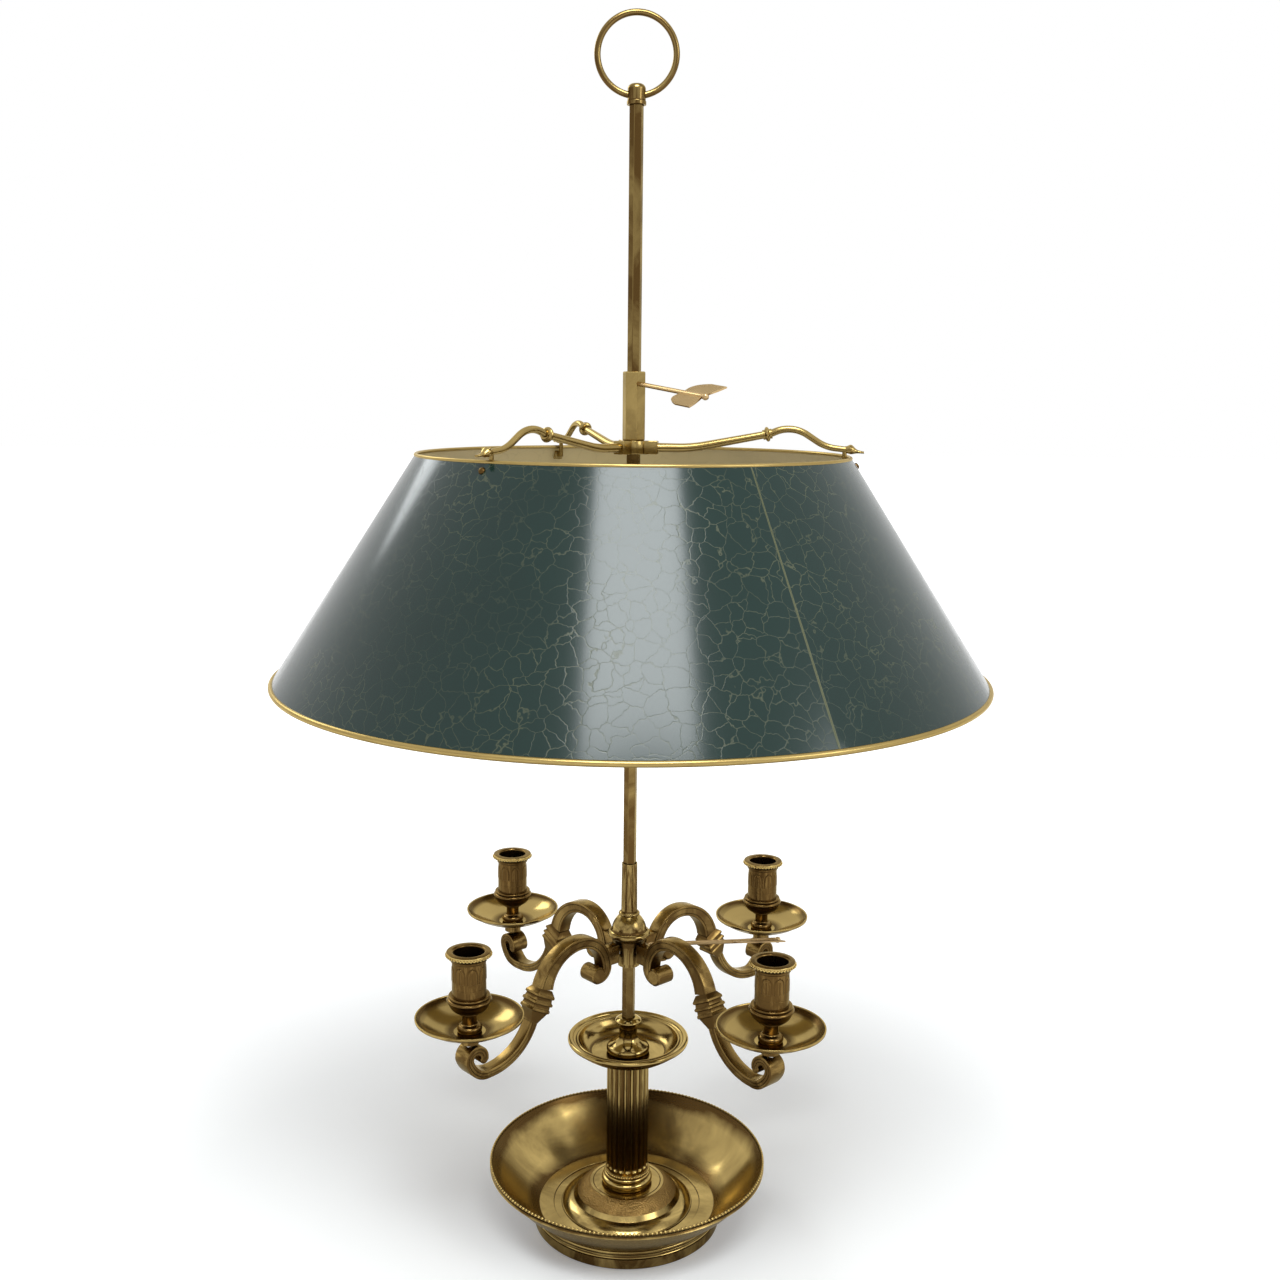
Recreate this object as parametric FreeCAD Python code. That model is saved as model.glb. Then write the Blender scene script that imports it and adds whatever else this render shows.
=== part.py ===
"""A four-candle table lamp on a dished brass base, with a shade that slides on its stem.

Millimetres, +Z up. The origin is the centre of the base, on the surface it stands on; -Y is the
front. A nut under the base pulls one rod, and with it the whole stand, together. The candle
cluster and the shade carrier each ride the six-sided stem and are locked by an arrow-shaped key.
"""
import FreeCAD, Part
import math
import os

Vec = FreeCAD.Vector
UP = Vec(0, 0, 1)

# Clearances
running = 0.07
bolt_clear = 0.30
seat_clear = 0.05

# Height or width of one small step of the turned mouldings
step = 1.0

# Felt, foot and ballast
felt_thickness = 1.5
foot_radius = 71.6
foot_wall = 7.0
foot_height = 10.5
foot_lift = 0.5
ballast_fit = 0.3
nut_room_radius = 12.0
nut_room_height = 7.0

# Tie rod with its nut and washer
rod_radius = 2.5
rod_tail = 1.2
rod_grip = 15.0
nut_across = 8.0
nut_height = 4.0
washer_radius = 9.0
washer_thickness = 1.2

# Dish
dish_radius = 107.6
dish_height = 50.2
dish_floor = 2.5
dish_foot_radius = 72.3
dish_foot_band = 1.5
dish_bead_height = 3.2
dish_bead_bulge = 0.7
dish_wall = 1.4
dish_sag = 2.2
rim_roll = 1.9
ring_radius = 68.0
groove_outer = 56.7
groove_inner = 50.2
groove_depth = 0.8
rim_bead = 0.95
rim_bead_seat = 0.8

# Plinth in the dish, under the column
plinth_radius = 49.6
plinth_step_radius = 41.3
plinth_step_height = 5.5
plinth_line = 0.4
plinth_top_radius = 29.0
plinth_height = 16.5
plinth_wall = 3.0
plinth_core_radius = 9.0
plinth_ring_radius = 26.0

# Moulded base of the column, and its beaded ring
base_radius = 17.8
base_torus = 1.7
base_height = 11.5
base_neck_radius = 16.2
base_bead = 0.8
spigot_length = 5.0
spigot_fit = 0.2

# Fluted column
column_radius = 16.0
column_bore = 11.0
column_height = 91.0
flute_count = 20
flute_radius = 2.0
flute_depth = 1.5
flute_margin = 4.5
flute_turn = 3.0

# Centre pan on the column, and the boss in it
pan_radius = 46.0
pan_height = 17.2
pan_floor = 4.5
pan_roll = 1.9
pan_ridge_radius = 38.6
pan_well_radius = 28.0
pan_foot_radius = 17.5
boss_radius = 14.4
boss_bun_height = 5.8
boss_bun_bulge = 1.7
boss_flare_height = 7.2
boss_neck_radius = 6.9
boss_neck_height = 6.5
boss_saucer_radius = 9.3
boss_saucer_height = 8.6
boss_socket_depth = 16.0

# Six-sided stem, its cap and the lifting ring
stem_across = 8.7
stem_turn = -77.0
stem_length = 679.3
cap_radius = 6.6
cap_neck_radius = 6.2
cap_height = 13.8
cap_socket_depth = 3.2
lift_ring_radius = 29.0
lift_wire_radius = 2.2
lift_hole_height = 6.0

# Candle cluster: hub and neck
hub_bottom = 210.0
hub_radius = 9.9
hub_waist_radius = 13.0
hub_belt_radius = 15.3
hub_belt_height = 20.6
hub_height = 36.5
hub_neck_length = 40.5
hub_neck_radius = 6.0
hub_collar_radius = 7.3
guide_radius = 8.2
guide_flange = 3.0
guide_length = 8.0

# Candle arms, as drawn in the upright plane through each arm
arm_count = 4
arm_turn = -48.0
arm_width = 10.5
arm_depth = 8.3
hook_out = 32.5
hook_rise = 3.0
hook_radius = 11.0
arch_radius = 28.5
fall_outer_radius = 40.1
fall_inner_radius = 27.0
fall_outer_angle = 17.0
fall_inner_angle = 8.0
roll_radius = 6.4
roll_width = 15.2
roll_angle = 310.0
lower_depth = 6.4
lower_width = 9.6
lower_radius = 44.5
lower_start_angle = 202.0
lower_out = 132.0
lower_drop = 49.0
scroll_radius = 22.5
scroll_end_angle = 340.0
eye_radius = 9.4
eye_end_angle = 195.0
scroll_width = 14.0
lug_bottom = 3.0
lug_height = 14.0
lug_width = 9.2
lug_stud_radius = 2.0
lug_stud_length = 16.5
lug_stud_rise = 9.5

# Knuckle of an arm: share of its length, of its half depth and of its half width
knuckle_half_depth = 8.7
knuckle_half_width = 7.6
knuckle_steps = [
    (0.0, 0.655, 0.684),
    (0.133, 0.908, 0.908),
    (0.164, 0.966, 0.974),
    (0.219, 0.966, 0.974),
    (0.250, 0.851, 0.842),
    (0.336, 0.897, 0.895),
    (0.375, 1.0, 1.0),
    (0.430, 1.0, 1.0),
    (0.461, 0.874, 0.868),
    (0.547, 0.897, 0.895),
    (0.578, 0.966, 0.974),
    (0.641, 0.966, 0.974),
    (0.672, 0.839, 0.868),
    (1.0, 0.379, 0.632),
]

# Drip pans and candle cups at the ends of the arms
cup_out = 146.0
seat_radius = 6.5
seat_top = 197.0
drip_radius = 37.5
drip_height = 13.0
drip_wall = 1.5
drip_lip = 0.9
drip_sag = 1.8
cup_height = 58.4
cup_bore = 10.5
cup_depth = 25.4
cup_barrel_height = 31.4
cup_radius = 11.8
cup_lip_radius = 15.85
cup_ovolo_radius = 15.5
cup_neck_radius = 5.0
cup_foot_radius = 8.4
cup_stud_radius = 2.5
cup_stud_into_arm = 12.5
cup_stud_into_cup = 17.0

# Shade carrier: sleeve, spider collar and arms
collar_bottom = 589.5
collar_height = 9.5
collar_radius = 9.2
stub_reach = 17.5
stub_width = 8.8
carrier_guide_radius = 7.4
carrier_guide_length = 2.5
sleeve_across = 14.2
sleeve_turn = -103.4
sleeve_height = 48.0
sleeve_chamfer = 0.9
spider_count = 3
spider_turn = -6.5
spider_root_radius = 3.25
spider_tip_radius = 2.1
spider_knuckle_radius = 5.2
spider_knuckle_length = 6.4

# Route of a spider arm from its stub outwards: length or radius, then degrees of turn
spider_route = [
    (14.0, 0.0),
    (100.0, 11.0),
    (44.5, 0.0),
    (20.0, 14.0),
    (24.0, -58.0),
    (8.0, 0.0),
    (30.0, 27.0),
    (7.0, 0.0),
]
spider_knuckle_at = 3
spider_tip_inset = 3.312

# Bird heads at the ends of the spider arms, and the lugs that hold the shade
head_length = 5.4
head_width = 3.9
head_height = 3.8
bill_length = 12.4
bill_half_width = 3.0
bill_drop = 0.0
eye_bead = 0.8
lug_post_radius = 1.6
lug_pad_width = 7.0
lug_pad_height = 7.0
lug_pad_thickness = 3.0
lug_web_height = 4.0
lug_inset = 4.2

# Shade
shade_top_radius = 152.3
shade_bottom_radius = 254.0
shade_top = 588.5
shade_bottom = 431.0
shade_sheet = 0.8
top_wire_radius = 1.3
bottom_wire_radius = 2.0
seam_turn = -61.5
seam_width = 9.0
seam_lap = 0.5
screw_drop = 6.6
screw_radius = 1.3
screw_head_radius = 2.4
screw_head_height = 1.5

# Arrow keys
key_radius = 1.6
key_length = 107.5
key_ball_radius = 2.3
key_tip_clear = 0.25
vane_length = 29.0
vane_span = 14.4
vane_sweep = 4.5
vane_thickness = 1.0
vane_inset = 3.5
vane_corner = 10.0
vane_bulge = 5.0
shade_key_turn = -66.0
shade_key_height = 40.0
shade_key_droop = 4.5
shade_key_roll = 26.0
hub_key_turn = 3.0
hub_key_height = 12.0
hub_key_droop = -1.5
hub_key_roll = -17.0


def flat_outline(points, place):
    """Wire through points (a, b), or (a, b, sag) for an arc that bulges to the right by sag."""
    edges = []
    for here, there in zip(points, points[1:] + points[:1]):
        start = place(here[0], here[1])
        end = place(there[0], there[1])
        if len(there) == 2:
            edges.append(Part.makeLine(start, end))
            continue
        run_a = there[0] - here[0]
        run_b = there[1] - here[1]
        length = math.hypot(run_a, run_b)
        mid_a = (here[0] + there[0]) / 2 + run_b / length * there[2]
        mid_b = (here[1] + there[1]) / 2 - run_a / length * there[2]
        edges.append(Part.Arc(start, place(mid_a, mid_b), end).toShape())
    return Part.Wire(edges)


def turned(points):
    """Solid of revolution about Z; points are (radius, height) and run anticlockwise."""
    wire = flat_outline(points, lambda radius, height: Vec(radius, 0, height))
    return Part.Face(wire).revolve(Vec(0, 0, 0), UP, 360)


def upright_slab(wire, width):
    """Slab of the given width about the upright XZ plane that holds the wire."""
    slab = Part.Face(wire).extrude(Vec(0, width, 0))
    slab.translate(Vec(0, -width / 2, 0))
    return slab


def hexagon_prism(across, turn, bottom, height):
    """Six-sided bar about Z, one of whose flats faces the angle turn."""
    corner = across / 2 / math.cos(math.pi / 6)
    angles = [math.radians(turn + 30 + 60 * i) for i in range(6)]
    points = [Vec(corner * math.cos(a), corner * math.sin(a), bottom) for a in angles]
    return Part.Face(Part.makePolygon(points + points[:1])).extrude(Vec(0, 0, height))


def cylinder(radius, bottom, top):
    """Upright cylinder on the Z axis."""
    return Part.makeCylinder(radius, top - bottom, Vec(0, 0, bottom), UP)


def about_z(shape, degrees):
    """Copy of a shape, turned about Z."""
    copy = shape.copy()
    copy.rotate(Vec(0, 0, 0), UP, degrees)
    return copy


def around(shape, count, first):
    """Copies of a shape at even steps about Z."""
    return [about_z(shape, first + 360.0 * i / count) for i in range(count)]


def arc_about(centre, radius, first, last):
    """Arc in the XZ plane about a centre (x, z), by its angles in degrees."""
    angles = [math.radians(a) for a in (first, (first + last) / 2, last)]
    marks = [Vec(centre[0] + radius * math.cos(a), 0, centre[1] + radius * math.sin(a)) for a in angles]
    return Part.Arc(marks[0], marks[1], marks[2]).toShape()


def joined(edges):
    """Closed wire of the edges, with straight links where one ends away from the next."""
    linked = []
    for edge, after in zip(edges, edges[1:] + edges[:1]):
        linked.append(edge)
        end = edge.valueAt(edge.LastParameter)
        start = after.valueAt(after.FirstParameter)
        if end.distanceToPoint(start) > 1e-6:
            linked.append(Part.makeLine(end, start))
    return Part.Wire(Part.__sortEdges__(linked))


# Heights up the stand, each from the piece below
rod_hole = rod_radius + bolt_clear
floor_top = foot_height + dish_floor
plinth_top = floor_top + plinth_height
column_bottom = plinth_top + base_height
column_top = column_bottom + column_height
pan_floor_top = column_top + pan_floor
boss_neck_bottom = pan_floor_top + boss_bun_height + boss_flare_height
boss_neck_top = boss_neck_bottom + boss_neck_height
boss_top = boss_neck_top + boss_saucer_height
stem_bottom = boss_top - boss_socket_depth
stem_top = stem_bottom + stem_length
cap_bottom = stem_top - cap_socket_depth
lift_hole = cap_bottom + lift_hole_height
stem_corner = stem_across / 2 / math.cos(math.pi / 6)
stem_bore = stem_corner + running
ballast_bottom = felt_thickness
nut_room_top = ballast_bottom + nut_room_height
nut_bottom = nut_room_top - washer_thickness - nut_height


def felt_pad():
    return cylinder(foot_radius - foot_wall - ballast_fit, 0, felt_thickness)


def foot_ring():
    inner = foot_radius - foot_wall
    edge = 0.8 * step
    rebate = 1.3 * step
    return turned([
        (inner, foot_lift),
        (foot_radius - edge, foot_lift),
        (foot_radius, foot_lift + edge, 0.3 * edge),
        (foot_radius, foot_height - 2 * rebate),
        (foot_radius - rebate, foot_height - rebate, -0.2 * rebate),
        (foot_radius - rebate, foot_height),
        (inner, foot_height),
    ])


def ballast_plate():
    outer = foot_radius - foot_wall - ballast_fit
    return turned([
        (nut_room_radius, ballast_bottom),
        (outer, ballast_bottom),
        (outer, foot_height),
        (rod_hole, foot_height),
        (rod_hole, nut_room_top),
        (nut_room_radius, nut_room_top),
    ])


def base_washer():
    disc = cylinder(washer_radius, nut_room_top - washer_thickness, nut_room_top)
    return disc.cut(cylinder(rod_hole, 0, nut_room_top))


def base_nut():
    body = hexagon_prism(nut_across, 0, nut_bottom, nut_height)
    return body.cut(cylinder(rod_radius + seat_clear, 0, nut_room_top))


def tie_rod():
    return cylinder(rod_radius, nut_bottom - rod_tail, stem_bottom + rod_grip)


def dish_bowl():
    bead_seat = dish_height - rim_bead_seat
    roll_inner = dish_radius - rim_roll
    bead_inner = roll_inner - 2 * rim_bead
    band = foot_height + dish_foot_band
    bead_top = band + dish_bead_height
    groove = dish_foot_radius - 0.6 * step
    rise = bead_seat - floor_top
    run = bead_inner - ring_radius
    length = math.hypot(run, rise)
    wall_out = dish_wall * rise / length
    wall_down = dish_wall * run / length
    wall_low = bead_top + 0.6 * step
    wall_start = ring_radius + (wall_low - floor_top) * run / rise + dish_wall * length / rise
    return turned([
        (rod_hole, foot_height),
        (dish_foot_radius, foot_height),
        (dish_foot_radius, band),
        (groove, band + 0.3 * step),
        (dish_foot_radius, band + 0.6 * step),
        (dish_foot_radius, bead_top, dish_bead_bulge),
        (groove, bead_top + 0.3 * step),
        (wall_start, wall_low),
        (bead_inner + wall_out, bead_seat - 1.6 * wall_down, dish_sag),
        (roll_inner, dish_height - 2 * rim_roll),
        (roll_inner, dish_height, rim_roll),
        (roll_inner, bead_seat),
        (bead_inner, bead_seat),
        (ring_radius, floor_top, -dish_sag),
        (groove_outer, floor_top),
        (groove_outer, floor_top - groove_depth),
        (groove_inner, floor_top - groove_depth),
        (groove_inner, floor_top),
        (rod_hole, floor_top),
    ])


def bead_ring(centre, seat, radius, rise):
    """Ring of round section about Z, cut flat on its seat; its middle is rise above the seat."""
    half = math.sqrt(radius ** 2 - rise ** 2)
    return turned([(centre - half, seat, radius + rise), (centre + half, seat)])


def rim_beading():
    seat = dish_height - rim_bead_seat
    return bead_ring(dish_radius - rim_roll - rim_bead, seat, rim_bead, 0.7 * rim_bead)


def column_plinth():
    step_top = floor_top + plinth_step_height
    ceiling = plinth_top - plinth_wall
    slope_in = plinth_step_radius - plinth_wall
    return turned([
        (rod_hole, floor_top),
        (plinth_core_radius, floor_top),
        (plinth_core_radius, ceiling),
        (plinth_top_radius - plinth_wall, ceiling),
        (slope_in, step_top - plinth_line),
        (slope_in + plinth_wall, floor_top),
        (plinth_radius, floor_top),
        (plinth_radius, floor_top + plinth_line),
        (plinth_step_radius, step_top, 0.8 * step),
        (plinth_step_radius - plinth_line, step_top - plinth_line),
        (plinth_step_radius - 2 * plinth_line, step_top),
        (plinth_top_radius, plinth_top, 1.2 * step),
        (plinth_ring_radius + plinth_line, plinth_top),
        (plinth_ring_radius, plinth_top - plinth_line),
        (plinth_ring_radius - plinth_line, plinth_top),
        (rod_hole, plinth_top),
    ])


def column_base():
    spigot = column_bore - spigot_fit
    fillet = 0.7 * step
    lower = plinth_top + fillet
    middle = plinth_top + 0.48 * base_height
    upper = column_bottom - 3 * base_bead
    inset = base_radius - step
    return turned([
        (rod_hole, plinth_top),
        (base_radius, plinth_top),
        (base_radius, lower),
        (base_radius, middle, base_torus),
        (inset, middle + fillet),
        (inset, upper, 0.7 * base_torus),
        (base_neck_radius, upper),
        (base_neck_radius, column_bottom),
        (spigot, column_bottom),
        (spigot, column_bottom + spigot_length),
        (rod_hole, column_bottom + spigot_length),
    ])


def base_beading():
    height = column_bottom - 1.4 * base_bead
    lean = 0.6 * base_bead
    half = math.sqrt(base_bead ** 2 - lean ** 2)
    foot = (base_neck_radius, height - half)
    head = (base_neck_radius, height + half, base_bead + lean)
    return turned([foot, head])


def fluted_column():
    tube = cylinder(column_radius, column_bottom, column_top)
    tube = tube.cut(cylinder(column_bore, column_bottom, column_top))
    centre = column_radius + flute_radius - flute_depth
    low = Vec(centre, 0, column_bottom + flute_margin)
    high = Vec(centre, 0, column_top - flute_margin)
    flute = Part.makeCylinder(flute_radius, high.z - low.z, low, UP)
    flute = flute.fuse([Part.makeSphere(flute_radius, low), Part.makeSphere(flute_radius, high)])
    return tube.cut(around(flute, flute_count, flute_turn))


def centre_pan():
    spigot = column_bore - spigot_fit
    top = column_top + pan_height
    roll_centre = pan_radius - pan_roll
    ridge_height = top - 2.1 * step
    return turned([
        (rod_hole, column_top - spigot_length),
        (spigot, column_top - spigot_length),
        (spigot, column_top),
        (pan_foot_radius, column_top),
        (roll_centre, top - 2 * pan_roll, 2.4 * step),
        (roll_centre, top, pan_roll),
        (roll_centre - pan_roll, top - 0.7 * step),
        (pan_ridge_radius + 0.9 * step, ridge_height, -0.7 * step),
        (pan_ridge_radius - 0.9 * step, ridge_height - 0.3 * step, 0.7 * step),
        (pan_well_radius, pan_floor_top + 0.6 * step, -1.4 * step),
        (boss_radius, pan_floor_top),
        (rod_hole, pan_floor_top),
    ])


def pan_boss():
    bun_top = pan_floor_top + boss_bun_height
    saucer = boss_neck_top + 0.56 * boss_saucer_height
    return turned([
        (rod_hole, pan_floor_top),
        (boss_radius, pan_floor_top),
        (boss_radius + 0.5 * step, bun_top, boss_bun_bulge),
        (boss_neck_radius, boss_neck_bottom, -step),
        (boss_neck_radius, boss_neck_top),
        (boss_saucer_radius, saucer, -0.5 * step),
        (boss_saucer_radius, saucer + 2 * step, 0.6 * step),
        (boss_neck_radius - 0.5 * step, boss_top, 0.2 * step),
        (stem_bore, boss_top),
        (stem_bore, stem_bottom),
        (rod_hole, stem_bottom),
    ])


def stem_bar():
    bar = hexagon_prism(stem_across, stem_turn, stem_bottom, stem_length)
    return bar.cut(cylinder(rod_radius + seat_clear, stem_bottom, stem_bottom + rod_grip + step))


def lifting_ring():
    centre = lift_ring_radius - lift_wire_radius
    return Part.makeTorus(centre, lift_wire_radius, Vec(0, 0, lift_hole + centre), Vec(0, 1, 0))


def stem_cap(ring):
    collar = cap_bottom + 2.4 * step
    dome = cap_bottom + cap_height - 3.4 * step
    body = turned([
        (stem_bore, cap_bottom),
        (cap_radius, cap_bottom),
        (cap_radius, collar),
        (cap_neck_radius, collar + 0.4 * step),
        (cap_neck_radius, dome),
        (0.5 * cap_neck_radius, cap_bottom + cap_height, 0.8 * step),
        (0, cap_bottom + cap_height),
        (0, stem_top),
        (stem_bore, stem_top),
    ])
    return body.cut(ring)


hub_top = hub_bottom + hub_height
guide_top = hub_bottom + guide_length - guide_flange
neck_top = hub_top + hub_neck_length


def hub_guide_ring():
    ring = cylinder(guide_radius, hub_bottom - guide_flange, guide_top)
    return ring.cut(cylinder(stem_bore, hub_bottom - guide_flange, guide_top))


def hub_body():
    belt = hub_bottom + hub_belt_height
    return turned([
        (guide_radius + running, hub_bottom),
        (hub_radius, hub_bottom),
        (hub_waist_radius, belt - 3 * step, -step),
        (hub_belt_radius, belt, -0.4 * step),
        (hub_belt_radius, belt + 3 * step, 0.5 * step),
        (hub_belt_radius - 2.2 * step, belt + 4.2 * step, -0.3 * step),
        (hub_collar_radius, hub_top, 1.3 * step),
        (stem_bore, hub_top),
        (stem_bore, guide_top),
        (guide_radius + running, guide_top),
    ])


def hub_neck():
    return turned([
        (stem_bore, hub_top),
        (hub_collar_radius, hub_top),
        (hub_collar_radius, hub_top + 2.4 * step, 0.6 * step),
        (hub_neck_radius, hub_top + 3.2 * step),
        (hub_neck_radius - 0.25 * step, neck_top),
        (stem_bore, neck_top),
    ])


hook_centre = (hook_out, hub_bottom + hook_rise)
arch_centre = (hook_out - hook_radius + arch_radius, hook_centre[1])
crown = arch_centre[1] + arch_radius
fall_outer_centre = (arch_centre[0], crown - fall_outer_radius)
fall_inner_centre = (arch_centre[0], crown - arm_depth - fall_inner_radius)
scroll_bottom = hub_bottom - lower_drop
lower_centre = (lower_out, scroll_bottom + lower_radius)
scroll_centre = (lower_out, scroll_bottom + scroll_radius)


def on_circle(centre, radius, degrees):
    """Point (x, z) on a circle of the arm's drawing."""
    angle = math.radians(degrees)
    return (centre[0] + radius * math.cos(angle), centre[1] + radius * math.sin(angle))


eye_centre = on_circle(scroll_centre, scroll_radius - eye_radius, scroll_end_angle)


def upper_bar():
    """The hook and the arch, a bar of even depth that deepens towards the knuckle."""
    wire = joined([
        arc_about(fall_outer_centre, fall_outer_radius, fall_outer_angle, 90),
        arc_about(arch_centre, arch_radius, 90, 180),
        arc_about(hook_centre, hook_radius, 180, roll_angle),
        arc_about(hook_centre, hook_radius - arm_depth, roll_angle, 180),
        arc_about(arch_centre, arch_radius - arm_depth, 180, 90),
        arc_about(fall_inner_centre, fall_inner_radius, 90, fall_inner_angle),
    ])
    return upright_slab(wire, arm_width)


def hook_roll():
    """Thick rolled end of the hook, wider than the bar and tangent to its outer edge."""
    x, z = on_circle(hook_centre, hook_radius - roll_radius, roll_angle)
    return Part.makeCylinder(roll_radius, roll_width, Vec(x, -roll_width / 2, z), Vec(0, 1, 0))


def knuckle():
    """Stepped square block between the upper and the lower bar."""
    outer = on_circle(fall_outer_centre, fall_outer_radius, fall_outer_angle)
    inner = on_circle(fall_inner_centre, fall_inner_radius, fall_inner_angle)
    start = ((outer[0] + inner[0]) / 2, (outer[1] + inner[1]) / 2)
    end = on_circle(lower_centre, lower_radius - lower_depth / 2, lower_start_angle)
    run = (end[0] - start[0], end[1] - start[1])
    length = math.hypot(run[0], run[1])
    depths = [(length * s, knuckle_half_depth * deep) for s, deep, wide in knuckle_steps]
    widths = [(length * s, knuckle_half_width * wide) for s, deep, wide in knuckle_steps]
    deep = [(s, -half) for s, half in depths] + depths[::-1]
    broad = [(s, -half) for s, half in widths] + widths[::-1]
    reach = 4 * knuckle_half_depth
    side = Part.Face(flat_outline(deep, lambda a, b: Vec(a, -reach / 2, b))).extrude(Vec(0, reach, 0))
    plan = Part.Face(flat_outline(broad, lambda a, b: Vec(a, b, -reach / 2))).extrude(Vec(0, 0, reach))
    block = side.common(plan)
    slope = math.degrees(math.atan2(run[1], run[0]))
    block.rotate(Vec(0, 0, 0), Vec(0, 1, 0), -slope)
    block.translate(Vec(start[0], 0, start[1]))
    return block


def lower_bar():
    """The lower sweep and the scroll, which grows wider towards its eye."""
    wire = joined([
        arc_about(lower_centre, lower_radius, lower_start_angle, 270),
        arc_about(scroll_centre, scroll_radius, -90, scroll_end_angle - 360),
        arc_about(eye_centre, eye_radius, scroll_end_angle - 360, eye_end_angle),
        arc_about(eye_centre, eye_radius - lower_depth, eye_end_angle, scroll_end_angle - 360),
        arc_about(scroll_centre, scroll_radius - lower_depth, scroll_end_angle - 360, -90),
        arc_about(lower_centre, lower_radius - lower_depth, 270, lower_start_angle),
    ])
    bar = upright_slab(wire, 2 * scroll_width)
    start = lower_out - lower_radius
    end = eye_centre[0] + 2 * eye_radius
    bend = lower_out
    wide = eye_centre[0]
    half = lower_width / 2
    full = scroll_width / 2
    plan = [(start, -half), (bend, -half), (wide, -full), (end, -full)]
    plan += [(end, full), (wide, full), (bend, half), (start, half)]
    low = scroll_bottom - step
    mask = Part.Face(flat_outline(plan, lambda a, b: Vec(a, b, low))).extrude(Vec(0, 0, 2 * lower_radius))
    return bar.common(mask)


def scroll_tip():
    """Round end of the bar inside the scroll."""
    x, z = on_circle(eye_centre, eye_radius - lower_depth / 2, eye_end_angle)
    return Part.makeCylinder(lower_depth / 2, scroll_width, Vec(x, -scroll_width / 2, z), Vec(0, 1, 0))


def arm_lug():
    """Square lug from the hub to the back of the hook."""
    bottom = hub_bottom + lug_bottom
    reach = hook_out - hook_radius + arm_depth / 2
    return Part.makeBox(reach, lug_width, lug_height, Vec(0, -lug_width / 2, bottom))


def cup_seat():
    """Round seat under the drip pan, on top of the scroll."""
    seat = cylinder(seat_radius, eye_centre[1] + eye_radius - 0.5 * lower_depth, seat_top)
    seat.translate(Vec(cup_out, 0, 0))
    return seat


def stud_at_hub(radius):
    """Stud that holds an arm to the hub, lying along +X."""
    start = stem_bore + step
    height = hub_bottom + lug_stud_rise
    return Part.makeCylinder(radius, lug_stud_length, Vec(start, 0, height), Vec(1, 0, 0))


def stud_at_cup(radius):
    """Stud that holds a cup and a pan to the arm's end."""
    stud = cylinder(radius, seat_top - cup_stud_into_arm, seat_top + drip_wall + cup_stud_into_cup)
    stud.translate(Vec(cup_out, 0, 0))
    return stud


def candle_arm(hub):
    """One arm, reaching along +X, and its hollows for the two studs."""
    hub_solid = Part.makeCompound([hub, cylinder(hub_radius, hub_bottom, hub_bottom + hub_belt_height)])
    bar = upper_bar().fuse([hook_roll(), knuckle(), lower_bar(), scroll_tip(), arm_lug(), cup_seat()])
    bar = bar.cut(hub_solid)
    bar = bar.cut([stud_at_hub(lug_stud_radius + seat_clear), stud_at_cup(cup_stud_radius + seat_clear)])
    return bar.removeSplitter()


drip_floor_top = seat_top + drip_wall
drip_top = seat_top + drip_height


def drip_pan():
    pan = turned([
        (cup_stud_radius + seat_clear, seat_top),
        (cup_foot_radius + step, seat_top),
        (drip_radius - drip_lip, drip_top - 2 * step, drip_sag),
        (drip_radius, drip_top - 1.2 * step, 0.25 * step),
        (drip_radius, drip_top),
        (drip_radius - drip_lip, drip_top),
        (drip_radius - drip_lip - 0.4 * step, drip_top - 0.8 * step),
        (cup_foot_radius + 3 * step, drip_floor_top, -drip_sag),
        (cup_stud_radius + seat_clear, drip_floor_top),
    ])
    pan.translate(Vec(cup_out, 0, 0))
    return pan


cup_foot = drip_floor_top
cup_top = cup_foot + cup_height
cup_floor = cup_top - cup_depth


def cup_vase():
    """Turned vase that carries a candle cup, up to the floor of the cup's bore."""
    stud_end = seat_top + drip_wall + cup_stud_into_cup + 0.5 * step
    hole = cup_stud_radius + seat_clear
    ball = cup_foot + 5.2 * step
    neck = cup_foot + 12.4 * step
    belt = cup_top - cup_barrel_height
    vase = turned([
        (hole, cup_foot),
        (cup_foot_radius - 0.8 * step, cup_foot),
        (cup_foot_radius - 1.6 * step, ball, 1.5 * step),
        (cup_neck_radius, ball + 1.4 * step, -0.5 * step),
        (cup_neck_radius, neck),
        (cup_neck_radius + 2.2 * step, neck + step),
        (cup_neck_radius + 2.2 * step, neck + 2.2 * step, 0.5 * step),
        (cup_neck_radius + 3.2 * step, neck + 2.4 * step),
        (cup_ovolo_radius - 1.2 * step, belt - 5.4 * step, 1.4 * step),
        (cup_ovolo_radius - 0.9 * step, belt - 5 * step),
        (cup_ovolo_radius - 0.9 * step, belt - 2.2 * step, 0.9 * step),
        (cup_ovolo_radius - 1.8 * step, belt - 1.8 * step),
        (cup_ovolo_radius - 1.8 * step, belt, 0.7 * step),
        (cup_radius, belt),
        (cup_radius, cup_floor),
        (0, cup_floor),
        (0, stud_end),
        (hole, stud_end),
    ])
    vase.translate(Vec(cup_out, 0, 0))
    return vase


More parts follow.
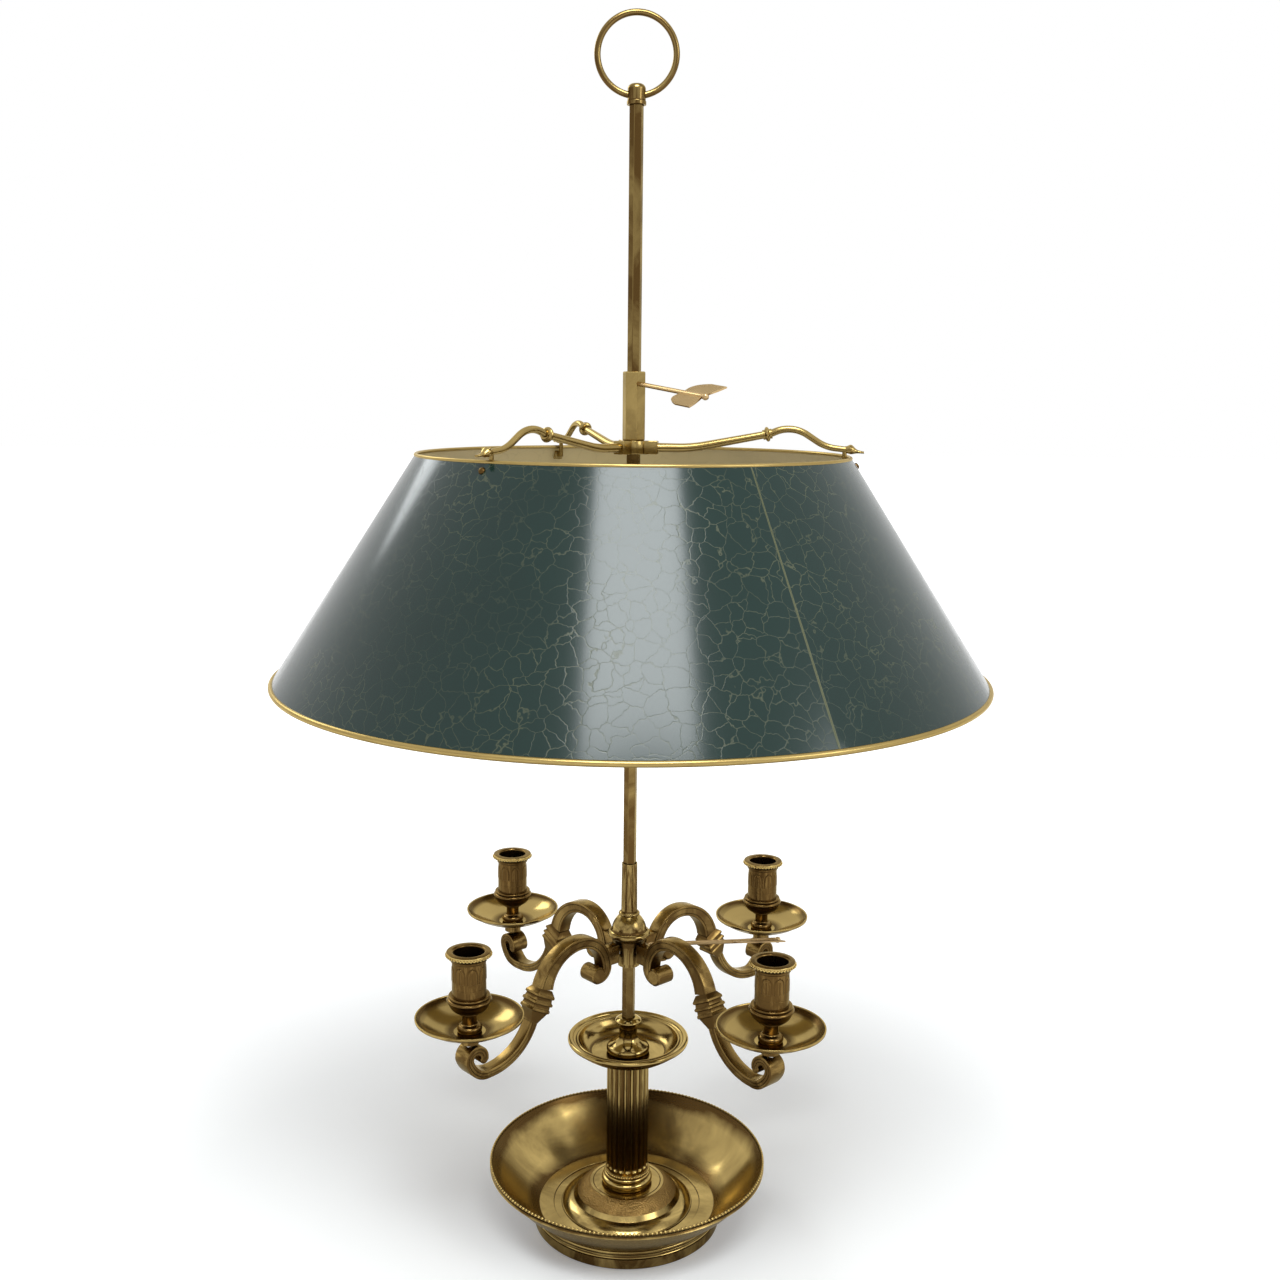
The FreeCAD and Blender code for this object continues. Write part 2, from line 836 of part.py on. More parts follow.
def candle_cup():
    """The cup that takes a candle, a short tube with a flared lip, seated on its vase."""
    flare = cup_top - 7 * step
    cup = turned([
        (cup_bore, cup_floor),
        (cup_radius, cup_floor),
        (cup_radius - 0.2 * step, flare),
        (cup_radius + 0.8 * step, flare + step, 0.3 * step),
        (cup_lip_radius - 0.7 * step, cup_top - 2.6 * step, -0.6 * step),
        (cup_lip_radius, cup_top - 1.4 * step, 0.3 * step),
        (cup_lip_radius - 0.8 * step, cup_top - 0.2 * step, 0.3 * step),
        (cup_bore + 1.6 * step, cup_top),
        (cup_bore, cup_top - 1.2 * step, 0.3 * step),
    ])
    cup.translate(Vec(cup_out, 0, 0))
    return cup


collar_top = collar_bottom + collar_height
carrier_guide_top = collar_bottom + carrier_guide_length
sleeve_top = collar_top + sleeve_height
spider_height = collar_bottom + collar_height / 2


def carrier_guide_ring():
    ring = cylinder(carrier_guide_radius, collar_bottom, carrier_guide_top)
    return ring.cut(cylinder(stem_bore, collar_bottom, carrier_guide_top))


def spider_collar():
    stub = Part.makeBox(stub_reach, stub_width, collar_height, Vec(0, -stub_width / 2, collar_bottom))
    body = cylinder(collar_radius, collar_bottom, collar_top)
    body = body.fuse(around(stub, spider_count, spider_turn))
    body = body.cut(cylinder(stem_bore, collar_bottom, collar_top))
    body = body.cut(cylinder(carrier_guide_radius + running, collar_bottom, carrier_guide_top))
    return body.removeSplitter()


def carrier_sleeve(key_hole):
    body = hexagon_prism(sleeve_across, sleeve_turn, collar_top, sleeve_height)
    top_radius = sleeve_across / 2 / math.cos(math.pi / 6) - sleeve_chamfer
    cone = Part.makeCone(top_radius + sleeve_height, top_radius, sleeve_height, Vec(0, 0, collar_top), UP)
    return body.common(cone).cut([cylinder(stem_bore, collar_top, sleeve_top), key_hole])


def spider_path(stretch):
    """Edges of a spider arm's centre line, with the point and heading after each."""
    x = stub_reach
    z = spider_height
    heading = 0.0
    edges = []
    marks = [(x, z, heading)]
    for plain_size, turn in spider_route:
        size = stretch * plain_size
        start = math.radians(heading)
        if turn == 0.0:
            next_x = x + size * math.cos(start)
            next_z = z + size * math.sin(start)
            edges.append(Part.makeLine(Vec(x, 0, z), Vec(next_x, 0, next_z)))
        else:
            side = 1 if turn > 0 else -1
            centre = (x - side * size * math.sin(start), z + side * size * math.cos(start))
            first = heading - side * 90
            edges.append(arc_about(centre, size, first, first + turn))
            next_x, next_z = on_circle(centre, size, first + turn)
        x = next_x
        z = next_z
        heading += turn
        marks.append((x, z, heading))
    return edges, marks


plain_reach = spider_path(1.0)[1][-1][0] - stub_reach
spider_reach = shade_top_radius - spider_tip_inset - stub_reach
spider_edges, spider_marks = spider_path(spider_reach / plain_reach)


def spider_arm():
    """One tapering round arm, reaching along +X."""
    x, z, heading = spider_marks[-1]
    angle = math.radians(heading)
    root = Part.makeCircle(spider_root_radius, Vec(stub_reach, 0, spider_height), Vec(1, 0, 0))
    tip = Part.makeCircle(spider_tip_radius, Vec(x, 0, z), Vec(math.cos(angle), 0, math.sin(angle)))
    pipe = Part.BRepOffsetAPI.MakePipeShell(Part.Wire(spider_edges))
    pipe.setFrenetMode(True)
    pipe.add(Part.Wire(root))
    pipe.add(Part.Wire(tip))
    pipe.build()
    pipe.makeSolid()
    return pipe.shape()


def spider_knuckle(arm):
    """Turned bead on a spider arm, where it starts to rise."""
    x, z, heading = spider_marks[spider_knuckle_at]
    half = spider_knuckle_length / 2
    bead = turned([
        (0, -half),
        (0.66 * spider_knuckle_radius, -half),
        (0.66 * spider_knuckle_radius, -0.5 * half),
        (0.78 * spider_knuckle_radius, -0.35 * half),
        (0.78 * spider_knuckle_radius, 0.35 * half, 0.22 * spider_knuckle_radius),
        (0.66 * spider_knuckle_radius, 0.5 * half),
        (0.66 * spider_knuckle_radius, half),
        (0, half),
    ])
    bead.rotate(Vec(0, 0, 0), Vec(0, 1, 0), 90 - heading)
    bead.translate(Vec(x, 0, z))
    return bead.cut(arm)


slope_run = shade_bottom_radius - shade_top_radius
slope_fall = shade_top - shade_bottom
slope_length = math.hypot(slope_run, slope_fall)
slope_out = slope_run / slope_length
slope_down = slope_fall / slope_length


def on_shade(along, outward):
    """Point (x, z) at a distance down the shade's inner face and outward from it."""
    x = shade_top_radius + along * slope_out + outward * slope_down
    z = shade_top - along * slope_down + outward * slope_out
    return (x, z)


def screw_shank(radius, first, last):
    """Cylinder square to the shade's wall, between two distances from its inner face."""
    start = on_shade(screw_drop, first)
    end = on_shade(screw_drop, last)
    axis = Vec(end[0] - start[0], 0, end[1] - start[1])
    return Part.makeCylinder(radius, last - first, Vec(start[0], 0, start[1]), axis)


def swan_head():
    """Bird's head with a flat bill, and the lug that reaches down inside the shade."""
    x, z, heading = spider_marks[-1]
    stretch = FreeCAD.Matrix()
    stretch.scale(head_length, head_width, head_height)
    skull = Part.makeSphere(1.0).transformGeometry(stretch)
    side = [(1.0, -0.72 * head_height), (bill_length, -0.68 * head_height), (bill_length, -0.4 * head_height),
            (0.55 * bill_length, -0.2 * head_height), (2.0, 0.5 * head_height)]
    plan = [(1.0, -0.95 * bill_half_width), (0.6 * bill_length, -0.8 * bill_half_width),
            (0.85 * bill_length, -bill_half_width), (0.85 * bill_length, bill_half_width, 0.15 * bill_length),
            (0.6 * bill_length, 0.8 * bill_half_width), (1.0, 0.95 * bill_half_width)]
    high = Part.Face(flat_outline(side, lambda a, b: Vec(a, -10, b))).extrude(Vec(0, 20, 0))
    wide = Part.Face(flat_outline(plan, lambda a, b: Vec(a, b, -10))).extrude(Vec(0, 0, 20))
    eyes = [Part.makeSphere(eye_bead, Vec(0.4 * head_length, s * 0.86 * head_width, 0.3 * head_height))
            for s in (-1, 1)]
    head = skull.fuse([high.common(wide)] + eyes)
    head.translate(Vec(0.8 * head_length, 0, 0))
    head.rotate(Vec(0, 0, 0), Vec(0, 1, 0), bill_drop)
    head.translate(Vec(x, 0, z))
    post_x = shade_top_radius - lug_inset
    web_z = on_shade(screw_drop, 0)[1] - lug_web_height / 2
    post = Part.makeCylinder(lug_post_radius, z - web_z, Vec(post_x, 0, web_z), UP)
    back = on_shade(screw_drop, -0.8 * lug_pad_thickness)
    web = Part.makeBox(back[0] - post_x, 2 * lug_post_radius, lug_web_height,
                       Vec(post_x, -lug_post_radius, web_z))
    corners = [on_shade(screw_drop - lug_pad_height / 2, -lug_pad_thickness),
               on_shade(screw_drop + lug_pad_height / 2, -lug_pad_thickness),
               on_shade(screw_drop + lug_pad_height / 2, 4.0),
               on_shade(screw_drop - lug_pad_height / 2, 4.0)]
    pad_wire = flat_outline(corners, lambda a, b: Vec(a, 0, b))
    pad = upright_slab(pad_wire, lug_pad_width).cut(shade_core(-seat_clear, 10.0))
    lug = post.fuse([web, pad])
    return head.fuse(lug).cut(screw_shank(screw_radius + seat_clear, -2 * lug_pad_thickness, 5.0))


def shade_core(inward, outward):
    """Conical shell between two distances from the shade's inner face."""
    past = 5.0
    ends = [on_shade(-past, inward), on_shade(slope_length + past, inward),
            on_shade(slope_length + past, outward), on_shade(-past, outward)]
    return turned(ends)


def shade_skin(screws):
    """Conical sheet with its lapped seam and three screw holes."""
    sheet = turned([on_shade(0, 0), on_shade(slope_length, 0),
                    on_shade(slope_length, shade_sheet), on_shade(0, shade_sheet)])
    lap_end = slope_length - bottom_wire_radius
    corners = [on_shade(top_wire_radius, 0.5 * shade_sheet), on_shade(lap_end, 0.5 * shade_sheet),
               on_shade(lap_end, shade_sheet + seam_lap), on_shade(top_wire_radius, shade_sheet + seam_lap)]
    wire = flat_outline(corners, lambda a, b: Vec(a, 0, b))
    half = math.degrees(seam_width / 2 / (0.5 * (shade_top_radius + shade_bottom_radius)))
    lap = Part.Face(wire).revolve(Vec(0, 0, 0), UP, 2 * half)
    return sheet.fuse(about_z(lap, seam_turn)).cut(screws)


def edge_wire(along, radius, side):
    """Rolled wire on an edge of the shade, grooved for the sheet; side is +1 where the sheet runs down."""
    groove = side * math.sqrt(radius ** 2 - (shade_sheet / 2) ** 2)
    mouth = [on_shade(along + groove, shade_sheet), on_shade(along + groove, 0)]
    floor = [on_shade(along, 0), on_shade(along, shade_sheet)]
    crown = radius + abs(groove)
    if side > 0:
        return turned([floor[1], mouth[0], mouth[1] + (crown,), floor[0]])
    return turned([floor[0], mouth[1], mouth[0] + (crown,), floor[1]])


def shade_screw():
    """Round-headed screw through the shade's wall into a lug, lying in the XZ plane."""
    half = seam_lap / 2
    head_base = shade_sheet + half
    shank = screw_shank(screw_radius, -lug_pad_thickness, head_base)
    centre = on_shade(screw_drop, head_base)
    axis = Vec(slope_down, 0, slope_out)
    dome = Part.makeCylinder(screw_head_radius, screw_head_height, Vec(centre[0], 0, centre[1]), axis)
    ball_radius = (screw_head_radius ** 2 + screw_head_height ** 2) / (2 * screw_head_height)
    ball_at = on_shade(screw_drop, head_base + screw_head_height - ball_radius)
    dome = dome.common(Part.makeSphere(ball_radius, Vec(ball_at[0], 0, ball_at[1])))
    return shank.fuse(dome)


def key_placed(shape, turn, height, droop, roll):
    """A key drawn along +X is rolled, tilted by its droop and set at its angle and height."""
    placed = shape.copy()
    placed.rotate(Vec(0, 0, 0), Vec(1, 0, 0), roll)
    placed.rotate(Vec(0, 0, 0), Vec(0, 1, 0), droop)
    placed.rotate(Vec(0, 0, 0), UP, turn)
    placed.translate(Vec(0, 0, height))
    return placed


key_tip = stem_corner + key_tip_clear
key_end = key_tip + key_length


def key_shaft():
    shaft = Part.makeCylinder(key_radius, key_length, Vec(key_tip, 0, 0), Vec(1, 0, 0))
    return shaft.fuse(Part.makeSphere(key_ball_radius, Vec(key_end, 0, 0)))


def key_vanes():
    """Two flat feather vanes, one each side of the shaft."""
    rear = key_end - vane_inset
    front = rear - vane_length
    outline = [(front, 0, vane_bulge), (rear, 0), (rear + vane_sweep, vane_span, -0.2 * vane_bulge),
               (front + vane_corner, vane_span, 0.1 * vane_bulge)]
    plate = Part.Face(flat_outline(outline, lambda a, b: Vec(a, b, -vane_thickness / 2)))
    plate = plate.extrude(Vec(0, 0, vane_thickness))
    other = plate.mirror(Vec(0, 0, 0), Vec(0, 1, 0))
    shaft = Part.makeCylinder(key_radius, key_length, Vec(key_tip, 0, 0), Vec(1, 0, 0))
    return Part.makeCompound([plate.cut(shaft), other.cut(shaft)])


def key_bore():
    """Hole that a key's shaft turns in."""
    return Part.makeCylinder(key_radius + running, 30.0, Vec(1, 0, 0), Vec(1, 0, 0))


def stand_pieces():
    ring = lifting_ring()
    return {
        "felt_pad": felt_pad(),
        "foot_ring": foot_ring(),
        "ballast_plate": ballast_plate(),
        "base_washer": base_washer(),
        "base_nut": base_nut(),
        "tie_rod": tie_rod(),
        "dish_bowl": dish_bowl(),
        "rim_beading": rim_beading(),
        "column_plinth": column_plinth(),
        "column_base": column_base(),
        "base_beading": base_beading(),
        "fluted_column": fluted_column(),
        "centre_pan": centre_pan(),
        "pan_boss": pan_boss(),
        "stem_bar": stem_bar(),
        "stem_cap": stem_cap(ring),
        "lifting_ring": ring,
    }


def cluster_pieces():
    key = (hub_key_turn, hub_bottom + hub_key_height, hub_key_droop, hub_key_roll)
    hub = hub_body()
    stud_holes = around(stud_at_hub(lug_stud_radius + seat_clear), arm_count, arm_turn)
    pieces = {
        "hub_guide_ring": hub_guide_ring(),
        "hub_body": hub.cut(stud_holes + [key_placed(key_bore(), *key)]),
        "hub_neck": hub_neck(),
        "arm_studs": Part.makeCompound(around(stud_at_hub(lug_stud_radius), arm_count, arm_turn)),
        "cup_studs": Part.makeCompound(around(stud_at_cup(cup_stud_radius), arm_count, arm_turn)),
        "hub_key_shaft": key_placed(key_shaft(), *key),
        "hub_key_vanes": key_placed(key_vanes(), *key),
    }
    groups = [("candle_arm", candle_arm(hub)), ("drip_pan", drip_pan()),
              ("cup_vase", cup_vase()), ("candle_cup", candle_cup())]
    for name, shape in groups:
        for number, copy in enumerate(around(shape, arm_count, arm_turn), 1):
            pieces["%s_%d" % (name, number)] = copy
    return pieces


def carrier_pieces():
    key = (shade_key_turn, collar_top + shade_key_height, shade_key_droop, shade_key_roll)
    arm = spider_arm()
    screws = around(screw_shank(screw_radius + seat_clear, -5.0, 5.0), spider_count, spider_turn)
    skin = shade_skin(screws)
    pieces = {
        "carrier_guide_ring": carrier_guide_ring(),
        "carrier_sleeve": carrier_sleeve(key_placed(key_bore(), *key)),
        "spider_collar": spider_collar(),
        "spider_knuckles": Part.makeCompound(around(spider_knuckle(arm), spider_count, spider_turn)),
        "shade_skin": skin,
        "shade_top_rim": edge_wire(0, top_wire_radius, 1),
        "shade_bottom_rim": edge_wire(slope_length, bottom_wire_radius, -1),
        "shade_screws": Part.makeCompound(around(shade_screw(), spider_count, spider_turn)),
        "shade_key_shaft": key_placed(key_shaft(), *key),
        "shade_key_vanes": key_placed(key_vanes(), *key),
    }
    head = swan_head().cut(arm)
    for name, shape in [("spider_arm", arm), ("swan_head", head)]:
        for number, copy in enumerate(around(shape, spider_count, spider_turn), 1):
            pieces["%s_%d" % (name, number)] = copy
    return pieces


os.makedirs("parts", exist_ok=True)
for group in (stand_pieces(), cluster_pieces(), carrier_pieces()):
    for node, shape in group.items():
        shape.exportStep("parts/%s.step" % node)
        print("%-20s solids %d  volume %9.1f  valid %s" % (
            node, len(shape.Solids), shape.Volume, shape.isValid()))
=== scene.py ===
"""A four-candle brass table lamp with a green crackled metal shade, dressed for a studio picture.

Sizes are worked in millimetres, as in the part's own frame, and put into the meshes in metres.
"""

import math

import bmesh
import bpy
import numpy as np
from bpy.props import FloatProperty, FloatVectorProperty, IntProperty, PointerProperty
from bpy.types import Operator, Panel, PropertyGroup
from mathutils import Matrix, Vector


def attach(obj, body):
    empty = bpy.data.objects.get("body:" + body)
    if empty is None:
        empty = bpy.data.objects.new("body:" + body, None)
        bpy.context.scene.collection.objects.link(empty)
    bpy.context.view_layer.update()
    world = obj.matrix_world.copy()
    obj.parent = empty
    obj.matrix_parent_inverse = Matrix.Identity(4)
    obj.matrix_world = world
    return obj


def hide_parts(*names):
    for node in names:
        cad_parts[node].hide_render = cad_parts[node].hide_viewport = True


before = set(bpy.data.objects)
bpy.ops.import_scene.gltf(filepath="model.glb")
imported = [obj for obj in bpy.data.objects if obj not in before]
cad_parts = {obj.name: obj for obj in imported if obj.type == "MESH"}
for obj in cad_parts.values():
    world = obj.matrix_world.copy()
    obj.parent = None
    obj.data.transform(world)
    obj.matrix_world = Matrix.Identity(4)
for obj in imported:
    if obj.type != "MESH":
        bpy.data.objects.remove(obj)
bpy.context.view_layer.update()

bl_info = {
    "name": "Candle lamp",
    "version": (1, 0, 0),
    "blender": (4, 5, 0),
    "location": "View3D > Sidebar > Candle lamp",
    "description": "Builds the visible pieces of a four-candle lamp on its CAD frame",
    "category": "Object",
}

MM = 0.001
STEM_BORE = 5.09
ARM_COUNT = 4
ARM_TURN = -48.0
ARM_REACH = 146.0
COLUMN_RADIUS = 16.0
SPIDER_COUNT = 3
SPIDER_TURN = -6.5
SEAM_TURN = -61.5
SEAM_WRAP = 2.6
SHEET = .8
LAP_STEP = .5
LIP_RADIUS = 15.22
LONG_RUN = 1.7
EDGE_POINT = .55
SHADOW_REACH = .42
# Each key: body, name stem, turn, height, droop and roll
KEY_PLACES = (("shade_key", "shade_key", -66.0, 639.0, 4.5, 26.0), ("cluster_key", "hub_key", 3.0, 222.0, -1.5, -17.0))
# Spider arm from the collar out: run length or bend radius, and bend in degrees
SPIDER_ROUTE = ((14, 0), (100, 11), (44.5, 0), (20, 14), (24, -58), (8, 0), (30, 27), (7, 0))
# Arm knuckle: share of its length, and its depth and width as shares of the greatest
KNUCKLE = ((0, .655, .684), (.133, .908, .908), (.164, .966, .974), (.219, .966, .974), (.25, .851, .842),
           (.336, .897, .895), (.375, 1, 1), (.43, 1, 1), (.461, .874, .868), (.547, .897, .895),
           (.578, .966, .974), (.641, .966, .974), (.672, .839, .868), (1, .379, .632))
KNUCKLE_HOLLOWS = [0, 4, 8, 12]
SHADE_TOP = (152.3, 588.5)
SHADE_FOOT = (254.0, 431.0)

# Turned pieces: (radius, height) or (radius, height, sag) for an arc that bulges to the right
TURNED = {
    "foot_ring": [(64.6, .5), (70.8, .5), (71.6, 1.3, .24), (71.6, 7.9), (70.3, 9.2, -.26), (70.3, 10.5), (64.6, 10.5)],
    "dish_bowl": [(2.8, 10.5), (72.3, 10.5), (72.3, 12), (71.7, 12.3), (72.3, 12.6), (72.3, 15.2, .7), (71.7, 15.5),
                  (72.72, 15.8), (104.8, 47.83, 2.2), (105.7, 46.4), (105.7, 50.2, 1.9), (105.7, 49.4), (103.8, 49.4),
                  (68, 13, -2.2), (56.7, 13), (56.7, 12.2), (50.2, 12.2), (50.2, 13), (2.8, 13)],
    "column_plinth": [(2.8, 13), (9, 13), (9, 26.5), (26, 26.5), (38.3, 18.1), (41.3, 13), (49.6, 13), (49.6, 13.4),
                      (41.3, 18.5, .8), (40.9, 18.1), (40.5, 18.5), (29, 29.5, 1.2), (26.4, 29.5), (26, 29.1),
                      (25.6, 29.5), (2.8, 29.5)],
    "column_base": [(2.8, 29.5), (17.8, 29.5), (17.8, 30.2), (17.8, 35.02, 1.7), (16.8, 35.72), (16.8, 38.6, 1.19),
                    (16.2, 38.6), (16.2, 41), (10.8, 41), (10.8, 46), (2.8, 46)],
    "centre_pan": [(2.8, 127), (10.8, 127), (10.8, 132), (17.5, 132), (44.1, 145.4, 2.4), (44.1, 149.2, 1.9),
                   (42.2, 148.5), (39.5, 147.1, -.7), (37.7, 146.8, .7), (28, 137.1, -1.4), (14.4, 136.5),
                   (2.8, 136.5)],
    "pan_boss": [(2.8, 136.5), (14.4, 136.5), (14.9, 142.3, 1.7), (6.9, 149.5, -1), (6.9, 156), (9.3, 160.82, -.5),
                 (9.3, 162.82, .6), (6.4, 164.6, .2), (5.09, 164.6), (5.09, 148.6), (2.8, 148.6)],
    "stem_cap": [(5.09, 824.7), (6.6, 824.7), (6.6, 827.1), (6.2, 827.5), (6.2, 835.1), (3.1, 838.5, .8), (0, 838.5),
                 (0, 827.9), (5.09, 827.9)],
    "hub_body": [(8.27, 210), (9.9, 210), (13, 227.6, -1), (15.3, 230.6, -.4), (15.3, 233.6, .5), (13.1, 234.8, -.3),
                 (7.3, 246.5, 1.3), (5.09, 246.5), (5.09, 215), (8.27, 215)],
    "hub_neck": [(5.09, 246.5), (7.3, 246.5), (7.3, 248.9, .6), (6, 249.7), (5.75, 287), (5.09, 287)],
    "drip_pan": [(2.55, 197), (9.4, 197), (36.6, 208, 1.8), (37.5, 208.8, .25), (37.5, 210), (36.6, 210), (36.2, 209.2),
                 (11.4, 198.5, -1.8), (2.55, 198.5)],
    "cup_vase": [(2.55, 198.5), (7.6, 198.5), (6.8, 203.7, 1.5), (5, 205.1, -.5), (5, 210.9), (7.2, 211.9),
                 (7.2, 213.1, .5), (8.2, 213.3), (14.3, 220.1, 1.4), (14.6, 220.5), (14.6, 223.3, .9), (13.7, 223.7),
                 (13.7, 225.5, .7), (11.8, 225.5), (11.8, 231.5), (0, 231.5), (0, 216), (2.55, 216)],
    "candle_cup": [(10.5, 231.5), (11.8, 231.5), (11.6, 249.9), (12.6, 250.9, .3), (14.8, 253.9, -.6),
                   (15.2, 255.6, .3), (14.9, 256.7, .3), (12.1, 256.9), (10.5, 255.7, .3)],
}


def arc(centre, radius, first, last, count=24):
    """Points of an arc about a centre, by its angles in degrees: centre plus radius times cosine and sine."""
    angle = np.radians(np.linspace(first, last, count))
    return np.stack([centre[0] + radius * np.cos(angle), centre[1] + radius * np.sin(angle)], -1)


def full_turn(count):
    """Even angles all the way round, in radians."""
    return np.linspace(0, 2 * math.pi, count, endpoint=False)


def ring_points(radius, angle, height, out=0.0):
    """Points about an upright axis that stands out from Z: radius times cosine and sine of the angle, at a height."""
    return np.stack([out + radius * np.cos(angle), radius * np.sin(angle), height + 0 * angle], -1)


def outline(points, soft=0.22):
    """Closed profile: straight runs and three-point arcs, each corner cut by a short Bezier of size soft.

    Gives the points and, for each, how far it lies in a hollow corner, from 0 to 1: where the brass paints shade, with
    patina.
    """
    lines, hollow = [], []
    marks = [np.array(p[:2], float) for p in points]
    sags = [p[2] if len(p) > 2 else 0.0 for p in points]
    count = len(points)
    for i in range(count):
        before, here, after = marks[i - 1], marks[i], marks[(i + 1) % count]
        back, ahead = before - here, after - here
        cut = min(soft, 0.3 * np.linalg.norm(back), 0.3 * np.linalg.norm(ahead))
        start = here + back / np.linalg.norm(back) * cut
        end = here + ahead / np.linalg.norm(ahead) * cut
        turn = np.cross(np.append(-back, 0), np.append(ahead, 0))[2]
        inward = 1.0 if turn < -.05 and here[0] > 0.01 else 0.0
        curved = abs(sags[i]) > 0 or abs(sags[(i + 1) % count]) > 0
        if curved or here[0] < 0.01:
            lines.append(here[None])
            hollow.append([inward])
        else:
            t = np.linspace(0, 1, 5)[:, None]
            lines.append((1 - t) ** 2 * start + 2 * t * (1 - t) * here + t ** 2 * end)
            hollow.append([0, inward, inward, inward, 0])
        sag = sags[(i + 1) % count]
        span = np.linalg.norm(ahead)
        if not sag and span > LONG_RUN:
            step = ahead / span * EDGE_POINT
            lines.append(np.stack([here + step, after - step]))
            hollow.append([0, 0])
        if sag:
            side = np.array([ahead[1], -ahead[0]]) / span
            radius = (span ** 2 / 4 + sag ** 2) / (2 * abs(sag))
            middle = here + ahead / 2 + side * (sag - math.copysign(radius, sag))
            first = math.atan2(*(here - middle)[::-1])
            last = math.atan2(*(after - middle)[::-1])
            sweep = (last - first + math.pi) % (2 * math.pi) - math.pi
            if abs(sag) > span / 2:
                sweep -= math.copysign(2 * math.pi, sweep)
            steps = max(4, int(abs(sweep) / 0.12))
            lines.append(arc(middle, radius, math.degrees(first), math.degrees(first + sweep), steps + 1)[1:-1])
            hollow.append([0] * (steps - 1))
    line, hollow = np.concatenate(lines), np.concatenate(hollow)
    # Each hollow mark spreads over SHADOW_REACH, so the painted shade fills the corner.
    near = np.linalg.norm(line[:, None] - line[None], axis=2) < SHADOW_REACH
    return line, np.where(near, hollow[None], 0).max(1)


def surface(points, wrap_u=False, recess=None):
    """Grid of points (rows, columns, 3) as vertices and quads, closed around its columns and, if asked, its rows."""
    rows, columns = points.shape[:2]
    index = np.arange(rows * columns).reshape(rows, columns)
    if wrap_u:
        index = np.vstack([index, index[:1]])
    index = np.hstack([index, index[:, :1]])
    quads = np.stack([index[:-1, :-1], index[1:, :-1], index[1:, 1:], index[:-1, 1:]], -1).reshape(-1, 4)
    marks = np.zeros(rows * columns) if recess is None else np.broadcast_to(recess, (rows, columns)).reshape(-1)
    return points.reshape(-1, 3), quads, marks


def capped(points):
    """The same grid with its first and last rings drawn in to their middle points."""
    first = np.broadcast_to(points[:1].mean(1, keepdims=True), points[:1].shape)
    last = np.broadcast_to(points[-1:].mean(1, keepdims=True), points[-1:].shape)
    return np.concatenate([first, points, last])


def lathe(points, steps=112, out=0.0, turn=0.0, relief=None):
    """Profile turned about an upright axis: x and y are the radius times cosine and sine of the angle.

    relief gives a height added to the radius, and a shadow, from angle, radius and z. The axis stands out from Z.
    """
    line, hollow = outline(points)
    angle = full_turn(steps)[None]
    radius = np.repeat(line[:, :1], steps, 1)
    height = np.repeat(line[:, 1:], steps, 1)
    dark = np.repeat(hollow[:, None], steps, 1)
    if relief:
        rise, shadow = relief(angle, radius, height)
        radius, dark = radius + rise, np.maximum(dark, shadow)
    grid = ring_points(radius, angle, height, out)
    return turned_by(surface(grid, True, dark), turn)


def turned_by(part, degrees, lift=0.0):
    """A part turned about Z by the usual two by two matrix of cosine and sine, and lifted."""
    c, s = math.cos(math.radians(degrees)), math.sin(math.radians(degrees))
    points = part[0] @ np.array([[c, s, 0], [-s, c, 0], [0, 0, 1]]) + np.array([0, 0, lift])
    return (points,) + part[1:]


def carried(path, side, up, across, high, square=0.0, steps=24):
    """Section carried along a path: a superellipse of half sizes across and high, on the side and up vectors."""
    angle = full_turn(steps)
    side, up = np.broadcast_to(side, path.shape), np.broadcast_to(up, path.shape)
    power = 1 - square
    a = np.sign(np.cos(angle)) * np.abs(np.cos(angle)) ** power
    b = np.sign(np.sin(angle)) * np.abs(np.sin(angle)) ** power
    across = np.broadcast_to(across, len(path))[:, None, None]
    high = np.broadcast_to(high, len(path))[:, None, None]
    grid = path[:, None] + across * side[:, None] * a[None, :, None] + high * up[:, None] * b[None, :, None]
    return surface(capped(grid))


def rounded_section(half_depth, half_width, edge=0.9, line=0.0):
    """Closed rectangle section with corners of radius edge and a fine line sunk along each broad side."""
    corner = np.radians(np.linspace(0, 90, 4))
    quarter = np.stack([np.cos(corner), np.sin(corner)], -1) * edge
    shift = np.array([half_depth - edge, half_width - edge])
    groove = np.array([[half_depth - 1.9, half_width], [half_depth - 2.15, half_width - line],
                       [half_depth - 2.4, half_width]])
    a = np.concatenate([quarter + shift, groove])
    b = a[::-1] * [-1, 1]
    c = a * [-1, -1]
    d = b * [-1, -1]
    return np.concatenate([a, b, c, d])


def bar_between(outer, inner, half_width, line=0.5):
    """Bar between two curves of the upright plane: each section spans from the outer to the inner point."""
    middle = (outer + inner) / 2
    gap = outer - inner
    depth = np.linalg.norm(gap, axis=1)
    way = gap / depth[:, None]
    widths = np.broadcast_to(half_width, len(outer))
    rings = np.stack([rounded_section(d / 2, w, 0.4, line) for d, w in zip(depth, widths)])
    flat = middle[:, None] + way[:, None] * rings[..., :1]
    grid = np.stack([flat[..., 0], rings[..., 1], flat[..., 1]], -1)
    # The sunk lines are marked dark: painted shade in the groove, with patina.
    sunk = np.tile([0, 0, 0, 0, 0, 1.0, 0, 0, 1.0, 0, 0, 0, 0, 0], 2) * (line > 0)
    return surface(capped(grid), recess=sunk[None])


